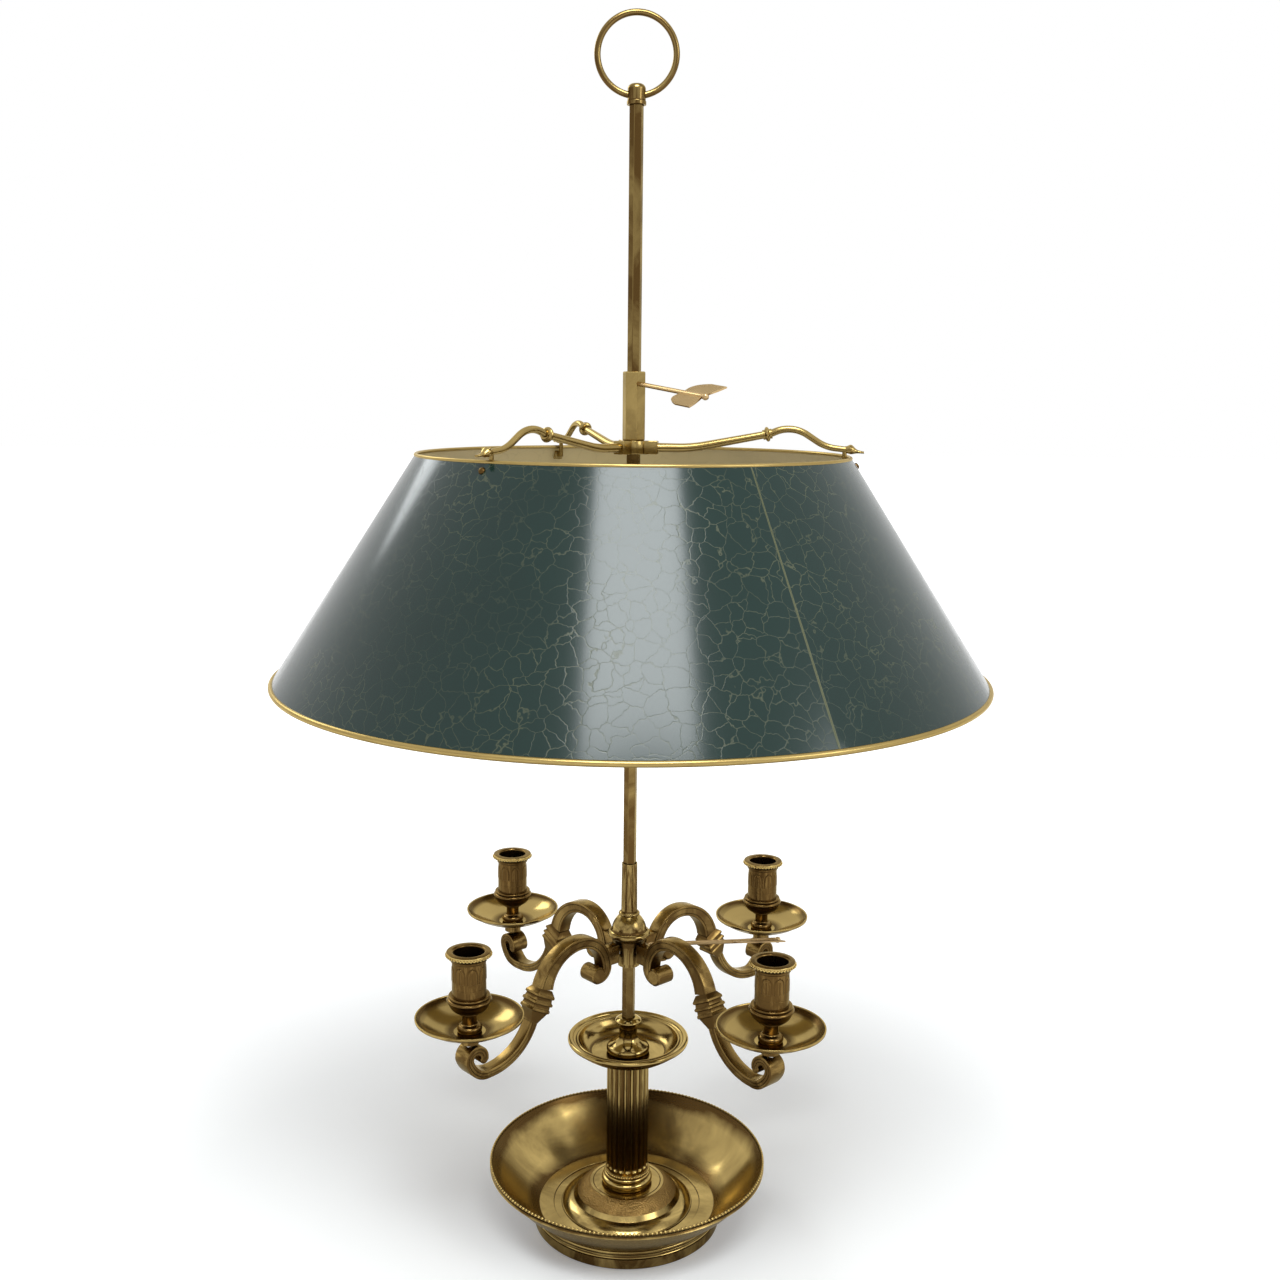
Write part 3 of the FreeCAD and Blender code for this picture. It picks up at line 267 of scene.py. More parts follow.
def drum(x, z, radius, half_width, edge=0.7):
    """Round drum lying across the upright plane, its profile turned about the Y direction."""
    line = np.array([[0, -half_width], [radius - edge - .6, -half_width], [radius - edge - .3, -half_width + .3],
                     [radius - edge, -half_width], [radius, -half_width + edge], [radius, half_width - edge],
                     [radius - edge, half_width], [radius - edge - .3, half_width - .3],
                     [radius - edge - .6, half_width], [0, half_width]])
    angle = full_turn(40)
    r, y = line[:, :1], np.repeat(line[:, 1:], 40, 1)
    grid = np.stack([x + r * np.cos(angle), y, z + r * np.sin(angle)], -1)
    # The two grooves are marked dark: painted shade in them, with patina.
    return surface(grid, recess=np.array([0, 0, 1, 0, 0, 0, 0, 1, 0, 0])[:, None])


def block(low, high, edge=0.6):
    """Box with rounded edges: a rounded rectangle in plan, drawn in near its two ends."""
    low, high = np.array(low, float), np.array(high, float)
    half, middle = (high - low) / 2, (high + low) / 2
    heights = np.array([-half[2], -half[2] + .3 * edge, -half[2] + edge, half[2] - edge, half[2] - .3 * edge, half[2]])
    shrink = np.array([edge, .3 * edge, 0, 0, .3 * edge, edge])
    rings = np.stack([rounded_section(half[0] - s, half[1] - s, edge) for s in shrink])
    grid = np.concatenate([rings, np.broadcast_to(heights[:, None, None], rings.shape[:2] + (1,))], -1)
    return surface(capped(grid + middle))


def beads(count, ring, height, radius, out=0.0, turn=0.0, rise=.7):
    """Small balls at even angles on a ring: one ball of few faces, turned to each angle.

    Each carries painted shade: dark where its direction times the outward and upward way (1, rise) is small, on the
    side turned from the light.
    """
    v = np.radians(np.linspace(-90, 90, 7))[:, None]
    u = full_turn(10)[None]
    ball = radius * np.stack([np.cos(v) * np.cos(u), np.cos(v) * np.sin(u), np.sin(v) + 0 * u], -1)
    points, quads, _ = surface(ball)
    angle = full_turn(count)
    c, s = np.cos(angle)[:, None], np.sin(angle)[:, None]
    x, y, z = points.T[:, None] / radius
    lit = (x * c + y * s + rise * z) / math.hypot(1, rise)
    centre = ring_points(ring, angle, height, out)
    every = (centre[:, None] + points[None]).reshape(-1, 3)
    links = (quads[None] + (np.arange(count) * len(points))[:, None, None]).reshape(-1, 4)
    # The mark is painted shade on the lower, inner side of each ball.
    return turned_by((every, links, np.clip(.9 - 1.5 * lit, 0, 1).reshape(-1)), turn)


def polar_prism(radius_of, low, high, chamfer, bore, steps=240):
    """Upright prism: a plan given as radius against angle, drawn in by the chamfer at each end, with a bore."""
    angle = full_turn(steps)
    full = radius_of(angle)
    zs = np.array([low, low, low + .3 * chamfer, low + chamfer, high - chamfer, high - .3 * chamfer, high, high])
    inset = np.array([0, 1.0, .3, 0, 0, .3, 1.0, 0]) * chamfer
    radius = full[None] - inset[:, None]
    radius[0] = bore
    radius[-1] = bore
    grid = ring_points(radius, angle, zs[:, None])
    return surface(grid, True)


def six_sides(across, turn, edge=0.35):
    """Radius of a six-sided bar against angle: half the width over the cosine, with softened corners."""
    def radius_of(angle):
        local = (angle - math.radians(turn) + math.pi / 6) % (math.pi / 3) - math.pi / 6
        return np.minimum(across / 2 / np.cos(local), across / 2 / math.cos(math.pi / 6) - edge * .3)
    return radius_of


def linked_piece(name, parts, body, nodes, slot, finishes=None, smooth=32.0):
    """One mesh from parts in millimetres, welded, faces outward, riding on its body.

    Its finish is the one called after the slot, unless finishes are named.
    """
    points, quads, marks, start = [], [], [], 0
    for p, q, m in parts:
        points.append(p * MM)
        quads.append(q + start)
        marks.append(m)
        start += len(p)
    points, quads, marks = np.concatenate(points), np.concatenate(quads), np.concatenate(marks)
    mesh = bpy.data.meshes.new(name)
    mesh.vertices.add(len(points))
    mesh.vertices.foreach_set("co", points.astype(np.float32).ravel())
    mesh.loops.add(quads.size)
    mesh.loops.foreach_set("vertex_index", quads.astype(np.int32).ravel())
    mesh.polygons.add(len(quads))
    mesh.polygons.foreach_set("loop_start", np.arange(0, quads.size, 4, dtype=np.int32))
    mesh.attributes.new("recess", "FLOAT", "POINT").data.foreach_set("value", marks.astype(np.float32))
    mesh.update(calc_edges=True)
    work = bmesh.new()
    work.from_mesh(mesh)
    bmesh.ops.remove_doubles(work, verts=work.verts, dist=1e-6)
    bmesh.ops.recalc_face_normals(work, faces=work.faces)
    work.to_mesh(mesh)
    work.free()
    mesh.polygons.foreach_set("use_smooth", np.ones(len(mesh.polygons), bool))
    mesh.set_sharp_from_angle(angle=math.radians(smooth))
    for finish in finishes or [slot.replace("_", " ")]:
        mesh.materials.append(finish_named(finish))
    piece = bpy.data.objects.new(name, mesh)
    bpy.context.scene.collection.objects.link(piece)
    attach(piece, body)
    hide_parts(*nodes)
    return piece


def face_centres(piece):
    """Middles of a piece's faces, one row each, in metres."""
    middles = np.zeros(len(piece.data.polygons) * 3, np.float32)
    piece.data.polygons.foreach_get("center", middles)
    return middles.reshape(-1, 3)


def feed(tree, inputs, values):
    """Sets inputs, by name or number, to plain values or links them from the sockets given."""
    for key, value in values.items():
        if isinstance(value, bpy.types.NodeSocket):
            tree.links.new(value, inputs[key])
        else:
            inputs[key].default_value = value


def add(tree, kind, values=None, **settings):
    """A shader node laid out in rows, with its settings made and its inputs fed."""
    node = tree.nodes.new("ShaderNode" + kind)
    node.location = (220 * (len(tree.nodes) % 8), -300 * (len(tree.nodes) // 8))
    for key, value in settings.items():
        setattr(node, key, value)
    feed(tree, node.inputs, values or {})
    return node


def calc(tree, operation, *values, clamp=False):
    """Result of one sum on the values or sockets given."""
    return add(tree, "Math", dict(enumerate(values)), operation=operation, use_clamp=clamp).outputs[0]


def ramp(tree, value, low, high, bottom=0.0, top=1.0):
    """The value's way from low to high, stretched from bottom to top and held there."""
    return add(tree, "MapRange", {"Value": value, "From Min": low, "From Max": high, "To Min": bottom,
                                  "To Max": top}).outputs["Result"]


def blend(tree, factor, first, second, blend_type="MIX"):
    """Two colours mixed by a factor."""
    return add(tree, "Mix", {0: factor, 6: first, 7: second}, data_type="RGBA", blend_type=blend_type).outputs[2]


def noise(tree, vector, scale, detail, **more):
    """Grey noise on a vector."""
    return add(tree, "TexNoise", {"Vector": vector, "Scale": scale, "Detail": detail, **more}).outputs["Fac"]


def new_finish(name):
    """A new material, its tree and the inputs of its Principled shader."""
    finish = bpy.data.materials.new(name)
    finish.use_nodes = True
    tree = finish.node_tree
    return finish, tree, tree.nodes["Principled BSDF"].inputs


def wear_and_shade_group():
    """Shared wear and painted light: tarnished clouds, shifted by each face's facing so they also paint reflection
    bands; painted shade on undersides, sides and in hollows, where patina lies too; and fine scratches.

    Gives colour, roughness and height.
    """
    found = bpy.data.node_groups.get("metal wear and painted shade")
    if found:
        return found
    group = bpy.data.node_groups.new("metal wear and painted shade", "ShaderNodeTree")
    for way, sockets in (("INPUT", {"Polish": "Color", "Tarnish and shade": "Color", "Amount": "Float", "Cloud Scale": "Float",
                                    "Gloss": "Float"}),
                         ("OUTPUT", {"Colour": "Color", "Roughness": "Float", "Height": "Float"})):
        for label, kind in sockets.items():
            group.interface.new_socket(label, in_out=way, socket_type="NodeSocket" + kind)
    given = group.nodes.new("NodeGroupInput").outputs
    result = group.nodes.new("NodeGroupOutput").inputs
    place = add(group, "TexCoord").outputs["Object"]
    facing = add(group, "NewGeometry").outputs["Normal"]
    # Painted reflection: the facing shifts the clouds, so each face of a piece gets its own tone, like reflected bands.
    turned = add(group, "VectorMath", {0: facing, "Scale": .06}, operation="SCALE").outputs[0]
    shifted = add(group, "VectorMath", {0: turned, 1: place}, operation="ADD").outputs[0]
    cloud = noise(group, shifted, given["Cloud Scale"], 5.0, Roughness=.62, Distortion=.8)
    fine = noise(group, place, 900.0, 3.0)
    stretched = add(group, "Mapping", {"Vector": place, "Scale": (1, 1, 14)}).outputs["Vector"]
    brush = noise(group, stretched, 220.0, 3.0)
    # Painted shade: faces turned down and to the sides go toward the dark colour.
    under = ramp(group, add(group, "SeparateXYZ", {0: facing}).outputs["Z"], .65, -.7, 0.0, 1.15)
    cloud_and_reflection_patch = calc(group, "MULTIPLY", ramp(group, cloud, .36, .68), given["Amount"])
    low = calc(group, "MULTIPLY_ADD", under, given["Amount"], cloud_and_reflection_patch)
    # Painted shade with patina: marked hollows, grooves and the turned-away sides of beads darken too.
    hollow = add(group, "Attribute", attribute_name="recess").outputs["Fac"]
    mask = calc(group, "ADD", low, calc(group, "MULTIPLY", hollow, .9), clamp=True)
    rough = calc(group, "MULTIPLY_ADD", mask, .16, given["Gloss"])
    feed(group, result, {"Colour": blend(group, mask, given["Polish"], given["Tarnish and shade"]),
                         "Roughness": calc(group, "MULTIPLY_ADD", brush, .07, rough),
                         "Height": calc(group, "ADD", fine, brush)})
    return group


def brass(name, polish, tarnish_and_shade, amount, clouds, gloss, bump=.00002, stipple=0.0):
    """Polished brass from the shared group of wear and painted shade, with an optional punched stipple."""
    finish, tree, shader = new_finish(name)
    wear = add(tree, "Group", {"Polish": (*polish, 1), "Tarnish and shade": (*tarnish_and_shade, 1), "Amount": amount,
                               "Cloud Scale": clouds, "Gloss": gloss}, node_tree=wear_and_shade_group()).outputs
    height = wear["Height"]
    if stipple:
        place = add(tree, "TexCoord").outputs["Object"]
        dots = add(tree, "TexVoronoi", {"Vector": place, "Scale": stipple}).outputs["Distance"]
        height = calc(tree, "MULTIPLY_ADD", dots, 6.0, height)
    normal = add(tree, "Bump", {"Strength": .6, "Distance": bump, "Height": height}).outputs["Normal"]
    feed(tree, shader, {"Metallic": 1.0, "Specular Tint": (.94, .86, .66, 1), "Base Color": wear["Colour"],
                        "Roughness": wear["Roughness"], "Normal": normal})
    return finish


def plain_grain(name, light, dark, rough, metallic, scale):
    """Felt, raw iron or steel: two colours mixed by a fine grain that also gives the bump."""
    finish, tree, shader = new_finish(name)
    grain = noise(tree, add(tree, "TexCoord").outputs["Object"], scale, 6.0)
    normal = add(tree, "Bump", {"Strength": .5, "Distance": .0003, "Height": grain}).outputs["Normal"]
    feed(tree, shader, {"Metallic": metallic, "Roughness": rough, "Normal": normal,
                        "Base Color": blend(tree, grain, (*light, 1), (*dark, 1))})
    return finish


def crackled_paint(name, ground, crack, rough, cell_scale, strength):
    """Glossy paint with a net of fine cracks: thin lines where Voronoi cells meet, broken up by noise."""
    finish, tree, shader = new_finish(name)
    place = add(tree, "TexCoord").outputs["Object"]
    warp = add(tree, "TexNoise", {"Vector": place, "Scale": 60.0, "Detail": 3.0}).outputs["Color"]
    bent = blend(tree, .008, place, warp, "LINEAR_LIGHT")
    cells = add(tree, "TexVoronoi", {"Vector": bent, "Scale": cell_scale}, feature="DISTANCE_TO_EDGE")
    thin = ramp(tree, cells.outputs["Distance"], .006, .026, 1.0, 0.0)
    broad = noise(tree, place, 9.0, 4.0)
    cracks = calc(tree, "MULTIPLY", thin, ramp(tree, broad, .38, .62, .25 * strength, strength))
    # The marked seam joins the crack lines: a painted highlight along the lap's edge.
    seam = add(tree, "Attribute", attribute_name="recess").outputs["Fac"]
    lines = calc(tree, "MAXIMUM", cracks, seam)
    shade = blend(tree, broad, (*[.72 * c for c in ground], 1), (*[1.25 * c for c in ground], 1))
    normal = add(tree, "Bump", {"Strength": .5, "Distance": .00008, "Height": lines}, invert=True).outputs["Normal"]
    feed(tree, shader, {"Specular IOR Level": .38, "Coat Roughness": .06, "Normal": normal,
                        "Base Color": blend(tree, lines, shade, (*crack, 1)),
                        "Roughness": calc(tree, "MULTIPLY_ADD", lines, .3, rough)})
    return finish


def seen_rays(tree):
    """1 for rays that come from the camera straight, mirrored or through glass, else 0."""
    rays = add(tree, "LightPath").outputs
    near = calc(tree, "MAXIMUM", rays["Is Camera Ray"], rays["Is Glossy Ray"])
    return calc(tree, "MAXIMUM", near, rays["Is Transmission Ray"])


class LampColours(PropertyGroup):
    """Colours that a user would change."""
    polish: FloatVectorProperty(name="Brass", description="Polished brass", subtype="COLOR", default=(.44, .32, .115))
    # Dark colour of tarnished clouds and patina, also used for painted shade on undersides, sides and in hollows.
    tarnish_and_shade: FloatVectorProperty(name="Tarnish and shade", description="Brass in hollows and clouds", subtype="COLOR",
                                 default=(.085, .047, .014))
    paint: FloatVectorProperty(name="Shade paint", description="Outside of the shade", subtype="COLOR",
                               default=(.004, .020, .016))
    crack: FloatVectorProperty(name="Cracks", description="Fine lines in the paint", subtype="COLOR",
                               default=(.11, .115, .06))
    lining: FloatVectorProperty(name="Lining", description="Inside of the shade", subtype="COLOR",
                                default=(.44, .345, .165))


class LampSizes(PropertyGroup):
    """Counts and sizes of the trim that a user would change."""
    rim_beads: IntProperty(name="Rim beads", description="Beads round the dish", default=208, min=60, max=600)
    lip_beads: IntProperty(name="Lip beads", description="Beads under each cup's lip", default=42, min=12, max=90)
    flutes: IntProperty(name="Flutes", description="Flutes round the column", default=20, min=8, max=36)
    barbs: IntProperty(name="Barbs", description="Cut lines on each feather vane", default=11, min=3, max=24)
    leaf_relief: FloatProperty(name="Leaf relief", description="Depth of the cups' leaves, in millimetres",
                               default=.32, min=0, max=1)


def finish_named(name):
    """The finish of that name, made on first use from the colours in the panel."""
    found = bpy.data.materials.get(name)
    if found:
        return found
    colours = bpy.context.scene.lamp_colours
    polish, tarnish_and_shade = tuple(colours.polish), tuple(colours.tarnish_and_shade)
    pale = tuple(min(1, 1.16 * c) for c in polish)
    brown = (polish[0] * .62, polish[1] * .52, polish[2] * .46)
    recipes = {
        "dish brass": lambda: brass(name, pale, tarnish_and_shade, .8, 20.0, .08),
        "bead brass": lambda: brass(name, pale, tarnish_and_shade, .1, 60.0, .1),
        "stippled brass": lambda: brass(name, brown, tarnish_and_shade, .35, 40.0, .34, .00012, 900.0),
        "column brass": lambda: brass(name, pale, tarnish_and_shade, .55, 30.0, .04, .000006),
        # The stem's brass is darker overall: painted shade from the shade above it, and its dark reflection.
        "stem brass": lambda: brass(name, tuple(.85 * c for c in polish), tarnish_and_shade, .85, 16.0, .09),
        "hub brass": lambda: brass(name, polish, tarnish_and_shade, .8, 45.0, .08),
        "arm brass": lambda: brass(name, (polish[0] * .74, polish[1] * .67, polish[2] * .6), tarnish_and_shade, .85, 36.0, .14),
        "pan brass": lambda: brass(name, pale, tarnish_and_shade, .65, 30.0, .07),
        "cup brass": lambda: brass(name, tuple(.8 * c for c in brown), tarnish_and_shade, 1.0, 50.0, .12),
        "carrier brass": lambda: brass(name, polish, tarnish_and_shade, .45, 30.0, .11),
        "screw brass": lambda: brass(name, tarnish_and_shade, tarnish_and_shade, .5, 90.0, .3),
        # The keys' paler, pinker brass is partly their own tone and partly a painted reflection.
        "key brass": lambda: brass(name, (pale[0], pale[1] * .96, pale[2] * 1.35), tarnish_and_shade, .25, 60.0, .24),
        "gilt edge": lambda: brass(name, polish, tarnish_and_shade, .35, 40.0, .24),
        "green crackle": lambda: crackled_paint(name, tuple(colours.paint), tuple(colours.crack), .16, 88.0, .5),
        "gilt lining": lambda: crackled_paint(name, tuple(colours.lining), tuple(.75 * c for c in colours.lining), .42,
                                              60.0, .3),
        "felt": lambda: plain_grain(name, (.02, .045, .022), (.008, .02, .01), .95, 0.0, 900.0),
        "iron": lambda: plain_grain(name, (.05, .047, .045), (.02, .018, .017), .7, 1.0, 300.0),
        "steel": lambda: plain_grain(name, (.5, .5, .5), (.3, .3, .3), .35, 1.0, 500.0),
    }
    return recipes[name]()


def dress_node(name, finish):
    """Gives a kept CAD node the named finish through its own material slots."""
    finish = finish_named(finish)
    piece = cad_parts[name]
    if not piece.material_slots:
        piece.data.materials.append(finish)
    for place in piece.material_slots:
        place.material = finish


class LAMP_OT_foot(Operator):
    """Foot, dish, beading, plinth and the pieces out of sight under them"""
    bl_idname = "lamp.foot"
    bl_label = "Foot and dish"

    def execute(self, context):
        sizes = context.scene.lamp_sizes

        def ledge(angle, radius, height):
            """No relief, but a shadow on the ledge under the beads."""
            under = (radius > 103.7) & (radius < 105.8) & (height > 49.2) & (height < 49.8)
            return 0 * radius, under.astype(float)

        for name in ("foot_ring", "dish_bowl"):
            linked_piece(name + "_turned", [lathe(TURNED[name], 224, relief=ledge)], "stand", [name], "dish_brass")
        plinth = linked_piece("column_plinth_turned", [lathe(TURNED["column_plinth"], 160)], "stand",
                              ["column_plinth"], "plinth_brass",
                              ["dish brass", "stippled brass"])
        away = np.hypot(*face_centres(plinth).T[:2]) / MM
        plinth.data.polygons.foreach_set("material_index", ((away > 28) & (away < 38.6)).astype(np.int32))
        linked_piece("rim_beads", [beads(sizes.rim_beads, 104.7, 50.0, 1.12)], "stand", ["rim_beading"],
                     "bead_brass")
        for name, finish in (("felt_pad", "felt"), ("ballast_plate", "iron"), ("base_washer", "steel"),
                             ("base_nut", "steel"), ("tie_rod", "steel")):
            dress_node(name, finish)
        return {"FINISHED"}


class LAMP_OT_column(Operator):
    """Column base, fluted column, centre pan and boss"""
    bl_idname = "lamp.column"
    bl_label = "Column and centre pan"

    def execute(self, context):
        flutes = context.scene.lamp_sizes.flutes
        for name in ("column_base", "centre_pan", "pan_boss"):
            linked_piece(name + "_turned", [lathe(TURNED[name], 144)], "stand", [name], "column_brass",
                         ["pan brass" if name == "centre_pan" else "column brass"])
        linked_piece("base_beads", [beads(52, 16.6, 39.88, .95, rise=.3)], "stand", ["base_beading"], "bead_brass")
        angle = full_turn(flutes * 14)[None]
        ends = np.concatenate([[41.0], np.linspace(43.4, 46.4, 12), [85.0], np.linspace(126.6, 129.6, 12), [132.0]])
        height = ends[:, None] + 0 * angle
        step = 2 * math.pi / flutes
        offset = COLUMN_RADIUS * ((angle - math.radians(3) + step / 2) % step - step / 2)
        past = np.maximum(0, np.maximum(45.5 - height, height - 127.5))
        sunk = 16.5 - np.sqrt(np.maximum(4 - offset ** 2 - past ** 2, 0))
        radius = np.minimum(COLUMN_RADIUS, sunk)
        shell = ring_points(radius, angle, height)
        inner = ring_points(11, angle, 132.0)
        foot = inner * [1, 1, 0] + [0, 0, 41.0]
        grid = np.concatenate([foot, shell, inner])
        # Flutes darken with their depth: painted shade in them, with patina.
        depth = np.concatenate([[0 * angle[0]], np.clip((COLUMN_RADIUS - radius) / 2.2, 0, 1), [0 * angle[0]]])
        linked_piece("fluted_column_cut", [surface(grid, True, depth)], "stand", ["fluted_column"],
                     "column_brass")
        return {"FINISHED"}


class LAMP_OT_stem(Operator):
    """Six-sided stem, its cap and the lifting ring"""
    bl_idname = "lamp.stem"
    bl_label = "Stem and ring"

    def execute(self, context):
        bar = polar_prism(six_sides(8.7, -77.0), 148.6, 827.9, .25, 2.55)
        linked_piece("stem_bar_drawn", [bar], "stand", ["stem_bar"], "stem_brass", smooth=20.0)
        linked_piece("stem_cap_turned", [lathe(TURNED["stem_cap"], 72)], "stand", ["stem_cap"], "stem_brass")
        turn = full_turn(160)[:, None]
        around = full_turn(24)[None]
        reach = 26.8 + 2.2 * np.cos(around)
        ring = np.stack([reach * np.cos(turn), 2.2 * np.sin(around) + 0 * turn, 857.5 + reach * np.sin(turn)], -1)
        linked_piece("lifting_ring_bent", [surface(ring, True)], "stand", ["lifting_ring"], "stem_brass")
        return {"FINISHED"}


class LAMP_OT_arms(Operator):
    """Hub and four scrolled candle arms"""
    bl_idname = "lamp.arms"
    bl_label = "Hub and candle arms"

    def execute(self, context):
        for name in ("hub_body", "hub_neck"):
            linked_piece(name + "_turned", [lathe(TURNED[name], 96)], "candle_cluster", [name], "hub_brass")
        dress_node("hub_guide_ring", "hub brass")
        dress_node("arm_studs", "steel")
        dress_node("cup_studs", "steel")
        hook, arch, crown = (32.5, 213.0), (50.0, 213.0), 241.5
        count = 30
        outer = np.concatenate([arc(hook, 11, 310, 180, count), arc(arch, 28.5, 180, 90, count)[1:],
                                arc((50, crown - 40.1), 40.1, 90, 17, count)[1:]])
        inner = np.concatenate([arc(hook, 2.7, 310, 180, count), arc(arch, 20.2, 180, 90, count)[1:],
                                arc((50, crown - 8.3 - 27), 27, 90, 8, count)[1:]])
        upper = bar_between(outer, inner, 5.25)
        low_centre, scroll = (132.0, 205.5), (132.0, 183.5)
        eye = arc(scroll, 13.1, 340, 340, 1)[0]
        outer_low = np.concatenate([arc(low_centre, 44.5, 202, 270, count), arc(scroll, 22.5, -90, -20, count)[1:],
                                    arc(eye, 9.4, -20, 195, 40)[1:]])
        inner_low = np.concatenate([arc(low_centre, 38.1, 202, 270, count), arc(scroll, 16.1, -90, -20, count)[1:],
                                    arc(eye, 3.0, -20, 195, 40)[1:]])
        run = np.clip((outer_low[:, 0] - 132.0) / (eye[0] - 132.0), 0, 1)
        run[count + 5:] = np.maximum.accumulate(run[count + 5:])
        lower = bar_between(outer_low, inner_low, 4.8 + 2.2 * run)
        start = (outer[-1] + inner[-1]) / 2
        end = arc(low_centre, 41.3, 202, 202, 1)[0]
        steps = np.array(KNUCKLE)
        way = (end - start) / np.linalg.norm(end - start)
        square = np.array([-way[1], way[0]])
        middle = start + (end - start) * steps[:, :1]
        knuckle = bar_between(middle + square * 8.7 * steps[:, 1:2], middle - square * 8.7 * steps[:, 1:2],
                              7.6 * steps[:, 2], 0.0)
        # The knuckle's grooves between its ribs are marked dark: painted shade, with patina.
        hollow = np.isin(np.arange(len(KNUCKLE)), KNUCKLE_HOLLOWS).astype(float)
        marks = np.concatenate([[0], hollow, [0]])
        knuckle = knuckle[:2] + (np.repeat(marks, len(knuckle[0]) // len(marks)),)
        roll = arc(hook, 4.6, 310, 310, 1)[0]
        tip = arc(eye, 6.2, 195, 195, 1)[0]
        seat = lathe([(2.55, 190.0), (6.5, 190.0), (6.5, 196.0), (6.2, 197.0), (2.55, 197.0)], 48, ARM_REACH)
        parts = [upper, lower, knuckle, drum(*roll, 6.4, 7.6), drum(*tip, 3.2, 7.0), seat,
                 block((13.2, -4.6, 213.0), (25.6, 4.6, 227.0))]
        for i in range(ARM_COUNT):
            turned = [turned_by(p, ARM_TURN + 90 * i) for p in parts]
            linked_piece(f"candle_arm_{i + 1}_cast", turned, "candle_cluster", [f"candle_arm_{i + 1}"], "arm_brass")
        return {"FINISHED"}


class LAMP_OT_cups(Operator):
    """Drip pans, vases and candle cups"""
    bl_idname = "lamp.cups"
    bl_label = "Drip pans and cups"

    def execute(self, context):
        sizes = context.scene.lamp_sizes

        def leaves(angle, radius, height):
            """Raised tongues on the barrel: lobes with round tops, a cut outline and a vein down each."""
            local = (angle * 8 / math.pi) % 2 - 1
            rise = np.clip((height - 236.5) / 11.0, 0, 1)
            lobe = .8 * np.sqrt(1 - rise ** 4) - np.abs(local)
            on_barrel = (radius > 11.3) & (radius < 12.0) & (height > 236.4) & (height < 248.6)
            # The cut outline and the vein are marked dark: painted shade in the cuts, with patina.
            edge = np.clip(1 - np.abs(lobe) * 7, 0, 1) + np.clip(1 - np.abs(local) * 8, 0, 1) * (rise < .8)
            shape = sizes.leaf_relief * (np.clip(lobe * 5, 0, 1) - np.clip(edge, 0, 1)) - .05
            return np.where(on_barrel, shape, 0), np.where(on_barrel, np.clip(edge, 0, 1), 0)

        barrel = [(11.8 - .2 * t, 231.5 + 18.4 * t) for t in np.linspace(0, 1, 44)]
        cup = [TURNED["candle_cup"][0]] + barrel + TURNED["candle_cup"][3:]
        for i in range(ARM_COUNT):
            turn = ARM_TURN + 90 * i
            number = i + 1
            linked_piece(f"drip_pan_{number}_turned", [lathe(TURNED["drip_pan"], 144, ARM_REACH, turn)],
                         "candle_cluster", [f"drip_pan_{number}"], "pan_brass")
            vase = [lathe(TURNED["cup_vase"], 80, ARM_REACH, turn)]
            linked_piece(f"cup_vase_{number}_turned", vase, "candle_cluster", [f"cup_vase_{number}"], "cup_brass")
            parts = [lathe(cup, 252, ARM_REACH, turn, leaves),
                     beads(sizes.lip_beads, 15.4, 254.6, .8, ARM_REACH, turn, .5)]
            piece = linked_piece(f"candle_cup_{number}_turned", parts, "candle_cluster", [f"candle_cup_{number}"],
                                 "cup_brass", ["cup brass", "bead brass"])
            x, y, _ = face_centres(piece).T / MM
            away = np.hypot(x - ARM_REACH * math.cos(math.radians(turn)), y - ARM_REACH * math.sin(math.radians(turn)))
            piece.data.polygons.foreach_set("material_index", (away > LIP_RADIUS).astype(np.int32))
        return {"FINISHED"}


def spider_line():
    """Centre line of a spider arm in the upright plane, run by run: lines and tangent arcs, with its headings."""
    x, z, heading = 17.5, 594.25, 0.0
    points, headings, marks = [np.array([[x, z]])], [np.array([0.0])], []
    for size, turn in SPIDER_ROUTE:
        t = np.linspace(0, 1, 14)[1:]
        angle = np.radians(heading + turn * t)
        if turn:
            side = math.copysign(1, turn)
            first = math.radians(heading)
            run = np.stack([x + side * size * (np.sin(angle) - math.sin(first)),
                            z - side * size * (np.cos(angle) - math.cos(first))], -1)
        else:
            run = np.stack([x + size * t * np.cos(angle), z + size * t * np.sin(angle)], -1)
        points.append(run)
        headings.append(angle)
        x, z = run[-1]
        heading += turn
        marks.append((x, z, heading))
    return np.concatenate(points), np.concatenate(headings), marks


